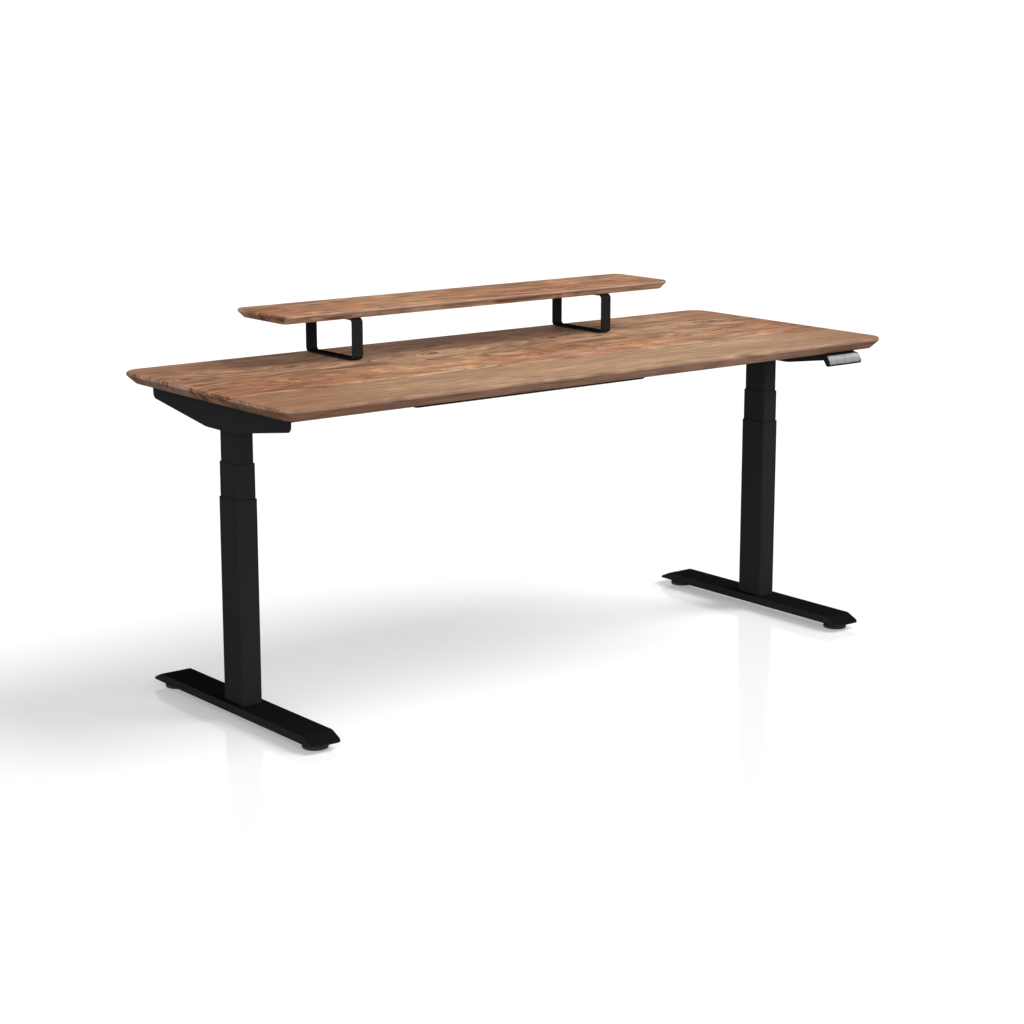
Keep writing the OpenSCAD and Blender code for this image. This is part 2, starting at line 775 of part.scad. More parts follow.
// Places of the screws that hold a bracket's flange on the housing
module at_flange_screws() {
    for (y = [-1, 1])
        translate([bracket_screw_x, y * (housing_depth / 2 - 14), 0]) children();
}
module beam_rail(side) {
    start = tray_length / 2 - rail_overlap;
    height = rail_top - rail_bottom;
    color(steel_black) on_side(side) difference() {
        union() {
            for (m = [0, 1]) mirror([0, m, 0])
                translate([start, rail_side - rail_width, rail_bottom]) rotate([90, 0, 90])
                    linear_extrude(housing_inner - start) difference() {
                        square([rail_width, height]);
                        translate([-1, rail_sheet])
                            square([rail_width - rail_sheet + 1, height - 2 * rail_sheet]);
                    }
            translate([housing_inner - end_plate, -rail_side, rail_bottom])
                cube([end_plate, 2 * rail_side, housing_top - 4 - rail_bottom]);
        }
        translate([housing_inner - end_plate - 1, 0, motor_height]) rotate([0, 90, 0])
            cylinder(r = motor_radius + 0.2, h = end_plate + 2);
        at_end_plate_screws() translate([0, 0, -end_plate - 1])
            cylinder(r = m6[0] + hole_play, h = end_plate + 2, $fn = 32);
        at_tray_screws() translate([0, 0, tray_sheet - 1])
            cylinder(r = m6[0] + thread_play, h = rail_sheet + 3, $fn = 32);
    }
}
module frame_screws() {
    color(zinc) {
        at_tray_screws()
            screw(m6[0], m6[1], m6[2], tray_sheet + rail_sheet + 1, $fn = 32);
        for (side = [LEFT, RIGHT]) on_side(side) {
            at_end_plate_screws() translate([0, 0, -end_plate])
                screw(m6[0], m6[1], m6[2], end_plate + 10, $fn = 32);
            at_flange_screws() translate([0, 0, flange_top]) mirror([0, 0, 1])
                screw(m6[0], m6[1], flat_head, bracket_sheet + 10, $fn = 32);
        }
    }
}

// Control box: a plate with ears under the desktop, and a cover that hangs from it
box_plate = 3;
box_wall = 2.5;
socket_inlet = [24, 16, 12];
socket_small = [12, 9, 10];
module control_box_base() {
    color(plastic_black) difference() {
        translate([box_from_middle, box_y, 0])
            upright([box_length + 2 * box_ear, box_width], 6, underside - box_plate, underside);
        at_box_screws() translate([0, 0, underside - box_plate - 1])
            cylinder(r = wood_screw[0] + hole_play, h = box_plate + 2, $fn = 24);
    }
}
module control_box_cover() {
    low = underside - box_height;
    high = underside - box_plate;
    rear = box_y + box_width / 2;
    color(plastic_black) difference() {
        translate([box_from_middle, box_y, 0])
            upright([box_length, box_width], 6, low, high);
        translate([box_from_middle, box_y, 0])
            upright([box_length - 2 * box_wall, box_width - 2 * 15], 4, low + box_wall, high + 1);
        translate([box_from_middle - box_length / 2 + 18, rear - socket_inlet[2], low + 8])
            cube([socket_inlet[0], socket_inlet[2] + 1, socket_inlet[1]]);
        for (i = [0 : 2])
            translate([box_from_middle - 40 + 34 * i, rear - socket_small[2], low + 10])
                cube([socket_small[0], socket_small[2] + 1, socket_small[1]]);
    }
}

// Handset face frame: children are placed with y pointing into the case
module at_face() {
    translate([handset_x + key_shift, face_mid_y, face_mid_z]) rotate([-handset_lean, 0, 0])
        children();
}
function face_point(y, z) = [
    face_mid_y + y * cos(handset_lean) + z * sin(handset_lean),
    face_mid_z - y * sin(handset_lean) + z * cos(handset_lean)
];
module key_row_shape(grow) {
    rotate([90, 0, 0]) linear_extrude(40, center = true)
        two_rounds(key_row + 2 * [grow, grow], key_rounds + [grow, grow]);
}
module handset_case() {
    half = handset_length / 2;
    color(plastic_black) difference() {
        intersection() {
            translate([handset_x - half, 0, 0]) rotate([90, 0, 90]) linear_extrude(handset_length)
                polygon([
                    [-lower_front, underside], face_point(face_sunk, face_half),
                    face_point(face_sunk, -face_half), face_point(1.6, -face_half - 2.4),
                    [-lower_front - 15, case_bottom],
                    [-lower_front - 10, case_bottom + 1.5], [-lower_front - 3, case_bottom + 12],
                    [-lower_front + 7, underside - mount_thick - 3],
                    [-lower_front + 12, underside - mount_thick],
                    [-lower_front + mount_depth, underside - mount_thick],
                    [-lower_front + mount_depth, underside]
                ]);
            union() {
                translate([handset_x, 0, (case_bottom + case_top) / 2]) rotate([90, 0, 0])
                    linear_extrude(2 * lower_front + 60, center = true)
                        two_rounds([handset_length, case_top - case_bottom], case_rounds);
                translate([handset_x - half + 5, -lower_front - 60, underside - 14])
                    cube([handset_length - 16, mount_depth + 61, 15]);
            }
        }
        at_face() intersection() {
            key_row_shape(key_gap);
            translate([-half, -4, -20]) cube([handset_length, pocket_depth + 4, 40]);
        }
        at_handset_screws() translate([0, 0, underside - mount_thick - 1])
            cylinder(r = wood_screw[0] + hole_play, h = mount_thick + 2, $fn = 24);
    }
}
module handset_board() {
    color([0.05, 0.25, 0.12]) at_face() union() {
        intersection() {
            key_row_shape(0);
            translate([-key_row[0] / 2, board_y, -20]) cube([key_row[0], board_thick, 40]);
        }
        for (i = [0 : 3]) translate([key_x(i), board_y + 0.1, 0]) rotate([90, 0, 0])
            cylinder(r = dome[0], h = dome[1] + 0.1, $fn = 24);
    }
}
key_pitch = key_row[0] / 4;
function key_x(i) = (i - 1.5) * key_pitch;
module key(i) {
    low = i == 0 ? 0 : key_gap / 2;
    high = i == 3 ? 0 : key_gap / 2;
    color(silver) at_face() union() {
        intersection() {
            key_row_shape(0);
            translate([key_x(i) - key_pitch / 2 + low, 0, -20])
                cube([key_pitch - low - high, key_thick, 40]);
        }
        translate([key_x(i), key_thick + plunger[1], 0]) rotate([90, 0, 0])
            cylinder(r = plunger[0], h = plunger[1] + 0.5, $fn = 24);
    }
}

foot(LEFT);  // left_foot
foot(RIGHT);  // right_foot
lower_column(LEFT);  // left_lower_column
lower_column(RIGHT);  // right_lower_column
column_base_plates();
foot_bolts();
leveller_nuts();
column_top_glides();
base_screws();
leveller(LEFT, -1);  // front_left_leveller
leveller(RIGHT, -1);  // front_right_leveller
leveller(LEFT, 1);  // rear_left_leveller
leveller(RIGHT, 1);  // rear_right_leveller
middle_tube(LEFT);  // left_middle_tube
middle_glides(LEFT);  // left_middle_glides
nut_post(LEFT);  // left_nut_post
spindle_nut(LEFT);  // left_spindle_nut
middle_tube(RIGHT);  // right_middle_tube
middle_glides(RIGHT);  // right_middle_glides
nut_post(RIGHT);  // right_nut_post
spindle_nut(RIGHT);  // right_spindle_nut
drive_tube(LEFT);  // left_drive_tube
drive_tube(RIGHT);  // right_drive_tube
spindle(LEFT);  // left_spindle
spindle(RIGHT);  // right_spindle
upper_tube(LEFT);  // left_upper_tube
upper_tube(RIGHT);  // right_upper_tube
upper_tube_shoes();
bearing_blocks();
spindle_bearings();
gear_housing(LEFT);  // left_gear_housing
gear_housing(RIGHT);  // right_gear_housing
motor(LEFT);  // left_motor
motor(RIGHT);  // right_motor
side_bracket(LEFT);  // left_side_bracket
side_bracket(RIGHT);  // right_side_bracket
bracket_pads();
beam_tray();
beam_rail(LEFT);  // left_beam_rail
beam_rail(RIGHT);  // right_beam_rail
frame_screws();
desktop();
desktop_screws();
shelf_board();
shelf_loop(LEFT);  // left_shelf_loop
shelf_loop(RIGHT);  // right_shelf_loop
shelf_screws();
shelf_loop_pads();
control_box_base();
control_box_cover();
control_box_screws();
handset_case();
handset_board();
handset_screws();
key(0);  // key_1
key(1);  // key_2
key(2);  // key_3
key(3);  // key_4
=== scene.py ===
"""Height-adjustable desk: the finished pieces, their materials and a plain studio.

Every length is in metres in the frame's own axes: +X to the user's right, +Y away from
the user and +Z up, with the origin on the floor midway between the legs.
"""
import math

import bmesh
import bpy
from bpy.props import FloatProperty, FloatVectorProperty, PointerProperty
from mathutils import Matrix, Vector


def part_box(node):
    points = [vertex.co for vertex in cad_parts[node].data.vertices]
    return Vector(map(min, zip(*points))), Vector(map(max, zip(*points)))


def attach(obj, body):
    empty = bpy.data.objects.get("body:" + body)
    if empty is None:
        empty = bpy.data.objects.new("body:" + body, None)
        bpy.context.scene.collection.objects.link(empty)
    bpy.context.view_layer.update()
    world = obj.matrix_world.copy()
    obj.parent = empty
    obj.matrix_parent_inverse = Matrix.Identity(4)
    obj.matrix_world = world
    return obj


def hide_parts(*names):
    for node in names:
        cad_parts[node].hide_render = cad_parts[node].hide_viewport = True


bl_info = {
    "name": "Height-Adjustable Desk",
    "version": (1, 0, 0),
    "blender": (4, 5, 0),
    "location": "View3D > Sidebar > Desk",
    "description": "Builds a lifting desk's boards, legs, feet and handset with their finishes",
    "category": "Add Mesh",
}

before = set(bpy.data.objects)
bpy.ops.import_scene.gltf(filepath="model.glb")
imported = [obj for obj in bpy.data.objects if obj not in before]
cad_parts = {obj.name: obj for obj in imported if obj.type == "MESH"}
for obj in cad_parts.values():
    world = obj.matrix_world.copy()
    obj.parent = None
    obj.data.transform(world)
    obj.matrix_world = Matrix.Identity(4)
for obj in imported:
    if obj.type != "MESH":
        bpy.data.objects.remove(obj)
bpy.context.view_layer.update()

LEFT, RIGHT = -1, 1
SIDE_NAMES = {LEFT: "left", RIGHT: "right"}
X, Y, Z = 0, 1, 2
AXES = (Vector((1, 0, 0)), Vector((0, 1, 0)), Vector((0, 0, 1)))
QUARTER_TURN = math.pi / 2
MERGE = 1e-6
SHARP_DEGREES = 35
ROUND_STEPS = 10
TURN_STEPS, MOTOR_STEPS, SCREW_STEPS = 48, 56, 28
WHITE = (1.0, 1.0, 1.0, 1.0)
KEY_BODIES = ("first_key", "second_key", "third_key", "fourth_key")


# Settings that a user would change

def setting(prop, **kind):
    """A call for one kind of setting, which takes its name, description and default."""
    return lambda name, description, default: prop(
        name=name, description=description, default=default, **kind)


length = setting(FloatProperty, min=0.0, precision=4, unit="LENGTH")
share = setting(FloatProperty, min=0.0, max=1.0, subtype="FACTOR")
angle = setting(FloatProperty, unit="ROTATION")
number = setting(FloatProperty, min=0.0)
colour = setting(FloatVectorProperty, size=3, min=0.0, max=1.0, subtype="COLOR")
direction = setting(FloatVectorProperty, size=3, subtype="DIRECTION")
position = setting(FloatVectorProperty, size=3, subtype="TRANSLATION", unit="LENGTH")


class DeskSizes(bpy.types.PropertyGroup):
    """Radii and walls of the pieces; their places come from the frame."""
    desktop_corner: length("Desktop corner", "Plan radius of the desktop's corners", 0.054)
    desktop_band: length("Desktop band", "Upright band above the desktop's bevel", 0.0085)
    desktop_run_in: length("Desktop bevel", "How far the desktop's bevel runs in", 0.024)
    shelf_corner: length("Shelf corner", "Plan radius of the shelf's corners", 0.030)
    shelf_band: length("Shelf band", "Upright band above the shelf's bevel", 0.006)
    shelf_run_in: length("Shelf bevel", "How far the shelf's bevel runs in", 0.016)
    desktop_round: length("Desktop edge", "Rounding along the desktop's top edge", 0.0055)
    shelf_round: length("Shelf edge", "Rounding along the shelf's top edge", 0.0038)
    loop_bend: length("Loop bend", "Outside radius of the loops' bends", 0.012)
    loop_steel: length("Loop steel", "Thickness of the loops' flat steel", 0.004)
    column_corner: length("Column corner", "Corner radius of the lowest column", 0.005)
    tube_wall: length("Tube wall", "Wall of the leg's tubes", 0.0015)
    foot_slope: length("Foot slope", "Length of the slope at each end of a foot", 0.0415)
    foot_tip: length("Foot tip", "Height left at the tip of a foot", 0.002)
    foot_corner: length("Foot corner", "Plan radius of the corners at a foot's tips", 0.014)
    foot_fold: length("Foot fold", "Radius of the fold along a foot's top edges", 0.0025)
    foot_wall: length("Foot steel", "Thickness of the feet's steel", 0.0025)
    pad_disc: length("Leveller disc", "Thickness of a leveller's disc", 0.008)
    pad_neck: length("Leveller neck", "Radius of the neck above the disc", 0.013)
    bracket_tip: length("Bracket tip", "Depth of a side bracket at its tips", 0.030)
    bracket_flat: length("Bracket flat", "Level stretch along a bracket's bottom", 0.120)
    bracket_steel: length("Bracket steel", "Thickness of the side brackets", 0.003)
    key_lean: angle("Key lean", "How far the keys' face leans back", math.radians(28.6))
    key_high: length("Key height", "Height of the keys along their face", 0.025)
    key_thick: length("Key thickness", "Thickness of the keys at their edges", 0.003)
    key_crown: length("Key crown", "How far a key's middle stands out", 0.0016)


class DeskWood(bpy.types.PropertyGroup):
    """Colours of the oiled hardwood."""
    front_plank: colour("Front plank", "Straight-grained plank in front", (0.462, 0.276, 0.163))
    middle_plank: colour("Middle plank", "Warm plank in the middle", (0.500, 0.260, 0.140))
    back_plank: colour("Back plank", "Figured plank behind it", (0.410, 0.235, 0.135))
    rear_plank: colour("Rear plank", "Plank along the back edge", (0.42, 0.237, 0.136))
    sapwood: colour("Sapwood", "Pale line beside the front plank", (0.58, 0.385, 0.26))
    honey: colour("Honey", "Yellow patches in the warmer planks", (0.60, 0.365, 0.205))
    late_grain: colour("Late grain", "Dark lines of the yearly rings", (0.185, 0.098, 0.062))
    red_grain: colour("Red grain", "Red patches in the middle plank", (0.33, 0.115, 0.062))
    heart: colour("Knot heart", "Middle of a knot", (0.085, 0.040, 0.026))
    end_pale: colour("Pale end grain", "Pale rays on the sawn ends", (0.50, 0.34, 0.25))
    end_dark: colour("Dark end grain", "Dark patches on the sawn ends", (0.17, 0.075, 0.052))
    patch_turns: number("Patch turns", "Turn from red to honey and back, radians a metre", 7.71)
    rings: number("Rings", "Yearly rings per metre across the grain", 34.0)


class DeskMetal(bpy.types.PropertyGroup):
    """Colours of the metal, plastic and rubber."""
    steel: colour("Powder coat", "Black powder-coated steel", (0.0225, 0.0227, 0.0225))
    casting: colour("Casting", "Black-painted cast housings", (0.014, 0.014, 0.0145))
    plastic: colour("Plastic", "Black moulded plastic", (0.012, 0.012, 0.0125))
    rubber: colour("Rubber", "Black rubber", (0.009, 0.009, 0.009))
    zinc: colour("Zinc", "Zinc-plated steel", (0.55, 0.56, 0.58))
    nylon: colour("Nylon", "Natural nylon", (0.72, 0.70, 0.64))
    keys: colour("Keys", "Silver paint of the keys", (0.25, 0.25, 0.255))
    board: colour("Circuit board", "Green solder mask", (0.012, 0.085, 0.035))


class DeskStage(bpy.types.PropertyGroup):
    """Camera, lamps and floor."""
    camera_place: position("Camera", "Place of the camera", (-3.5774, -4.5058, 1.6396))
    camera_turn: angle("Turn", "Turn of the camera about the upright", math.radians(-38.20))
    camera_dip: angle("Dip", "How far the camera looks below the horizon", math.radians(12.32))
    lens: number("Lens", "Focal length in millimetres on a 36 mm sensor", 80.126)
    key_from: direction("Key from", "Direction towards the key lamp", (0.62, -0.34, 0.80))
    key_share: share("Key share", "Share of the floor's light that the key lamp gives", 0.43)
    key_spread: angle("Key spread", "Angle that the key lamp fills", math.radians(34.0))
    fill_from: direction("Fill from", "Direction towards the fill lamp", (-1.0, 0.25, 0.25))
    fill_strength: number("Fill", "Strength of the fill lamp", 0.35)
    fill_spread: angle("Fill spread", "Angle that the fill lamp fills", math.radians(80.0))
    sky: colour("Sky", "Tint of the light from all round", (0.93, 0.965, 1.0))
    sky_top: number("Sky overhead", "Light from overhead", 0.14)
    sky_rim: number("Sky rim", "Light from near the horizon", 1.66)
    sky_behind: share("Sky behind", "How much dimmer the light from behind the desk is", 0.85)
    floor: colour("Floor", "Colour of the floor", (0.90, 0.90, 0.90))
    floor_lift: share("Floor lift", "Light that the floor adds for the camera", 0.29)
    floor_size: length("Floor size", "Half the width of the floor", 900.0)


# Shapes made with bmesh operators

def new_verts(made):
    """The vertices that an operator made."""
    return [v for v in made["geom"] if isinstance(v, bmesh.types.BMVert)]


def pull(bm, faces, by):
    """Extrudes faces by a vector and returns the faces at the far end."""
    made = bmesh.ops.extrude_face_region(bm, geom=faces)
    bmesh.ops.translate(bm, vec=by, verts=new_verts(made))
    return [f for f in made["geom"] if isinstance(f, bmesh.types.BMFace)]


def sweep_edges(bm, edges, by):
    """Extrudes edges by a vector and returns the new edges at the far side."""
    made = bmesh.ops.extrude_edge_only(bm, edges=edges)
    verts = set(new_verts(made))
    bmesh.ops.translate(bm, vec=by, verts=list(verts))
    return [e for e in bm.edges if e.verts[0] in verts and e.verts[1] in verts]


def soften(bm, edges, width, segments=2):
    """Rounds edges."""
    bmesh.ops.bevel(bm, geom=edges, offset=width, offset_type="OFFSET", affect="EDGES",
                    segments=segments, profile=0.5, material=-1, clamp_overlap=True)


def round_corners(bm, verts, reach, segments=ROUND_STEPS):
    """Rounds the corners of a flat outline; reach is where each arc starts along an edge."""
    bmesh.ops.bevel(bm, geom=verts, offset=reach, offset_type="OFFSET", affect="VERTICES",
                    segments=segments, profile=0.5, material=-1)


def folded_edges(bm, degrees=SHARP_DEGREES):
    """Edges where two faces meet at more than an angle."""
    bm.normal_update()
    least = math.radians(degrees)
    return [e for e in bm.edges if len(e.link_faces) == 2 and e.calc_face_angle() > least]


def level_edges(bm, height):
    """Edges that lie at a height."""
    return [e for e in bm.edges if all(abs(v.co.z - height) < MERGE for v in e.verts)]


def face_outwards(bm):
    """Turns the faces of a shape outwards."""
    bmesh.ops.recalc_face_normals(bm, faces=bm.faces)


def open_up(bm, faces):
    """Deletes faces and leaves their edges."""
    bmesh.ops.delete(bm, geom=faces, context="FACES_ONLY")


def thicken(bm, wall):
    """Gives a sheet its thickness."""
    bmesh.ops.solidify(bm, geom=bm.faces[:], thickness=wall)


def move(bm, by):
    """Moves a whole shape."""
    bmesh.ops.translate(bm, vec=by, verts=bm.verts)


def turn(bm, by, axis):
    """Turns a whole shape about an axis through the origin."""
    bmesh.ops.rotate(bm, matrix=Matrix.Rotation(by, 3, axis), verts=bm.verts)


def rounded_plate(bm, size, radius):
    """Flat rounded rectangle about the Z axis; returns its face."""
    bmesh.ops.create_grid(bm, x_segments=1, y_segments=1, size=0.5)
    bmesh.ops.scale(bm, vec=(size[X], size[Y], 1.0), verts=bm.verts)
    round_corners(bm, bm.verts[:], radius)
    return bm.faces[:]


def outline(bm, points):
    """Flat face through a few corner points; returns its vertices in order."""
    verts = [bm.verts.new(p) for p in points]
    bm.faces.new(verts)
    return verts


def spun(bm, profile, steps=TURN_STEPS):
    """Turns a line of (radius, height) points once about the Z axis."""
    verts = [bm.verts.new((r, 0, z)) for r, z in profile]
    edges = [bm.edges.new(pair) for pair in zip(verts, verts[1:])]
    bmesh.ops.spin(bm, geom=verts + edges, cent=(0, 0, 0), axis=(0, 0, 1), dvec=(0, 0, 0),
                   angle=2 * math.pi, steps=steps, use_merge=True)
    bmesh.ops.remove_doubles(bm, verts=bm.verts, dist=MERGE)


def box_of(node):
    """Low corner, high corner, middle and size of a CAD node."""
    low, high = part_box(node)
    return low, high, (low + high) / 2, high - low


def solids_of(node):
    """Low and high corners of each separate solid in a CAD node."""
    bm = bmesh.new()
    bm.from_mesh(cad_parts[node].data)
    bmesh.ops.remove_doubles(bm, verts=bm.verts, dist=MERGE)
    left, found = set(bm.verts), []
    while left:
        group, front = set(), [left.pop()]
        while front:
            vert = front.pop()
            group.add(vert.co.copy().freeze())
            near = [e.other_vert(vert) for e in vert.link_edges]
            fresh = [v for v in near if v in left]
            left.difference_update(fresh)
            front.extend(fresh)
        low, high = (Vector(pick(p[i] for p in group) for i in range(3)) for pick in (min, max))
        found.append((low, high))
    bm.free()
    return sorted(found, key=lambda pair: tuple(pair[0]))


def mesh_from(bm, name):
    """Makes a shape into a mesh and frees it."""
    mesh = bpy.data.meshes.new(name)
    bm.to_mesh(mesh)
    bm.free()
    return mesh


def placed(name, data):
    """A new object in the scene."""
    made = bpy.data.objects.new(name, data)
    bpy.context.scene.collection.objects.link(made)
    return made


def shade_smooth(made):
    """Shades an object smoothly, with its flat faces kept flat beside rounded edges."""
    made.data.polygons.foreach_set("use_smooth", [True] * len(made.data.polygons))
    made.modifiers.new("Weighted Normal", "WEIGHTED_NORMAL").keep_sharp = True


def piece(bm, node, body, material="powder_coat"):
    """Makes a shape into the piece that rides on a body and stands for a CAD node."""
    bmesh.ops.remove_doubles(bm, verts=bm.verts, dist=MERGE)
    face_outwards(bm)
    made = placed(node + "_piece", mesh_from(bm, node + "_piece"))
    shade_smooth(made)
    made.data.set_sharp_from_angle(angle=math.radians(SHARP_DEGREES))
    made.data.materials.append(finish(material))
    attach(made, body)
    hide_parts(node)


def dress(node, material, edge=0.0, segments=2):
    """Gives a CAD node its material and, where asked, softened edges."""
    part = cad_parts[node]
    part.data.materials.clear()
    part.data.materials.append(finish(material))
    part.modifiers.new("Weld", "WELD").merge_threshold = MERGE
    if edge:
        bevel = part.modifiers.new("Bevel", "BEVEL")
        bevel.width = edge
        bevel.segments = segments
        bevel.limit_method = "ANGLE"
        bevel.angle_limit = math.radians(SHARP_DEGREES)
        bevel.profile = 0.5
    shade_smooth(part)


# Node trees

class Tree:
    """Short calls that add nodes to a node tree."""

    def __init__(self, tree):
        self.tree = tree

    def node(self, kind, **settings):
        made = self.tree.nodes.new(kind)
        for key, value in settings.items():
            setattr(made, key, value)
        return made

    def feed(self, socket, value):
        """Links a socket to another, or sets its value."""
        if isinstance(value, bpy.types.NodeSocket):
            self.tree.links.new(value, socket)
        elif value is not None:
            socket.default_value = value

    def fill(self, made, *values):
        """Feeds a node's inputs in their order and returns its first output."""
        for socket, value in zip(made.inputs, values):
            self.feed(socket, value)
        return made.outputs[0]

    def give(self, made, values):
        """Feeds a node's inputs by name and returns its outputs."""
        for name, value in values.items():
            self.feed(made.inputs[name], value)
        return made.outputs

    def math(self, operation, a, b=None, c=None, clamp=False):
        return self.fill(self.node("ShaderNodeMath", operation=operation, use_clamp=clamp),
                         a, b, c)

    def times(self, a, b, plus=None):
        """One number times another, plus a third where it is given."""
        return self.math("MULTIPLY" if plus is None else "MULTIPLY_ADD", a, b, plus)

    def minus(self, a, b):
        return self.math("SUBTRACT", a, b)

    def vector(self, operation, a, b=None):
        made = self.node("ShaderNodeVectorMath", operation=operation)
        self.fill(made, a, b)
        return made.outputs["Value" if operation == "LENGTH" else "Vector"]

    def split(self, vector):
        """The three parts of a vector."""
        made = self.node("ShaderNodeSeparateXYZ")
        self.fill(made, vector)
        return made.outputs

    def join(self, x=None, y=None, z=None):
        """A vector of three parts."""
        return self.fill(self.node("ShaderNodeCombineXYZ"), x, y, z)

    def mix(self, factor, a, b, blend="MIX"):
        """Mixes two colours, whose sockets follow those for numbers and vectors."""
        made = self.node("ShaderNodeMix", data_type="RGBA", blend_type=blend)
        self.feed(made.inputs[0], factor)
        self.feed(made.inputs[6], a)
        self.feed(made.inputs[7], b)
        return made.outputs[2]

    def dye(self, tone, tint):
        return self.mix(1.0, tone, tint, "MULTIPLY")

    def noise(self, place, stretch, detail=2.0, roughness=0.5, bend=0.0):
        """Noise from 0 to 1; stretch is how many cells lie along a metre on each axis."""
        return self.give(self.node("ShaderNodeTexNoise", noise_dimensions="3D"), {
            "Vector": self.vector("MULTIPLY", place, stretch), "Scale": 1.0, "Detail": detail,
            "Roughness": roughness, "Distortion": bend})["Fac"]

    def ease(self, value, low, high, to_low=0.0, to_high=1.0):
        """Smooth step from one value to another."""
        return self.fill(self.node("ShaderNodeMapRange", interpolation_type="SMOOTHSTEP"),
                         value, low, high, to_low, to_high)

    def group(self, shared, values):
        """Places a shared group and feeds its inputs by name."""
        return self.give(self.node("ShaderNodeGroup", node_tree=shared), values)


def opaque(rgb):
    """A colour with full cover."""
    return (*rgb, 1.0)


def new_group(name, inputs, outputs):
    """Empty shared group; inputs and outputs give the socket kind of each name."""
    group = bpy.data.node_groups.new(name, "ShaderNodeTree")
    for in_out, sockets in (("INPUT", inputs), ("OUTPUT", outputs)):
        for label, kind in sockets.items():
            group.interface.new_socket(label, in_out=in_out, socket_type="NodeSocket" + kind)
    tree = Tree(group)
    return group, tree, tree.node("NodeGroupInput").outputs, tree.node("NodeGroupOutput").inputs


def fine_grain_group():
    """Fine surface grain of a coat or a moulding, and a mask of what looks up, which the coats use
    for painted shade.
    """
    group, t, given, out = new_group(
        "Fine grain", {"Place": "Vector", "Facing": "Vector", "Cells": "Float"},
        {"Relief": "Float", "Speckle": "Float", "Cloud": "Float", "Upper": "Float"})
    cells = t.join(given["Cells"], given["Cells"], given["Cells"])
    finer = t.vector("MULTIPLY", cells, (2.7, 2.7, 2.7))
    t.feed(out["Relief"], t.noise(given["Place"], cells, detail=3.0))
    t.feed(out["Speckle"], t.ease(t.noise(given["Place"], finer, detail=1.0), 0.35, 0.65))
    t.feed(out["Cloud"], t.noise(given["Place"], (9.0, 9.0, 9.0)))
    # Mask of the faces that look up, for painted shade
    t.feed(out["Upper"], t.ease(t.split(given["Facing"])[Z], 0.55, 0.95))
    return group


def knot_group():
    """One knot or dark streak: how the grain swells round it, and its dark heart."""
    group, t, given, out = new_group(
        "Knot", {"Place": "Vector", "Centre": "Vector", "Radius": "Float", "Long": "Float",
                 "Slant": "Float"}, {"Swell": "Float", "Heart": "Float"})
    along, across, _ = t.split(t.vector("SUBTRACT", given["Place"], given["Centre"]))
    rise = t.times(along, given["Slant"])
    flat = t.join(t.math("DIVIDE", along, given["Long"]), t.minus(across, rise))
    far = t.math("DIVIDE", t.vector("LENGTH", flat), given["Radius"])
    t.feed(out["Swell"], t.ease(far, 0.0, 3.6, 1.0, 0.0))
    t.feed(out["Heart"], t.ease(far, 0.40, 1.15, 1.0, 0.0))
    return group


SEAMS = ("Front seam", "Back seam", "Rear seam")
# The wood's painted lighting: shade towards the board's ends, and lit or shaded tints of the flat,
# the bands, the undersides and the sawn ends
PAINTED_LIGHT_TINTS = ("Far painted shade", "Flat painted lighting", "Band painted lighting", "Under painted lighting", "End band painted lighting", "End under painted lighting")


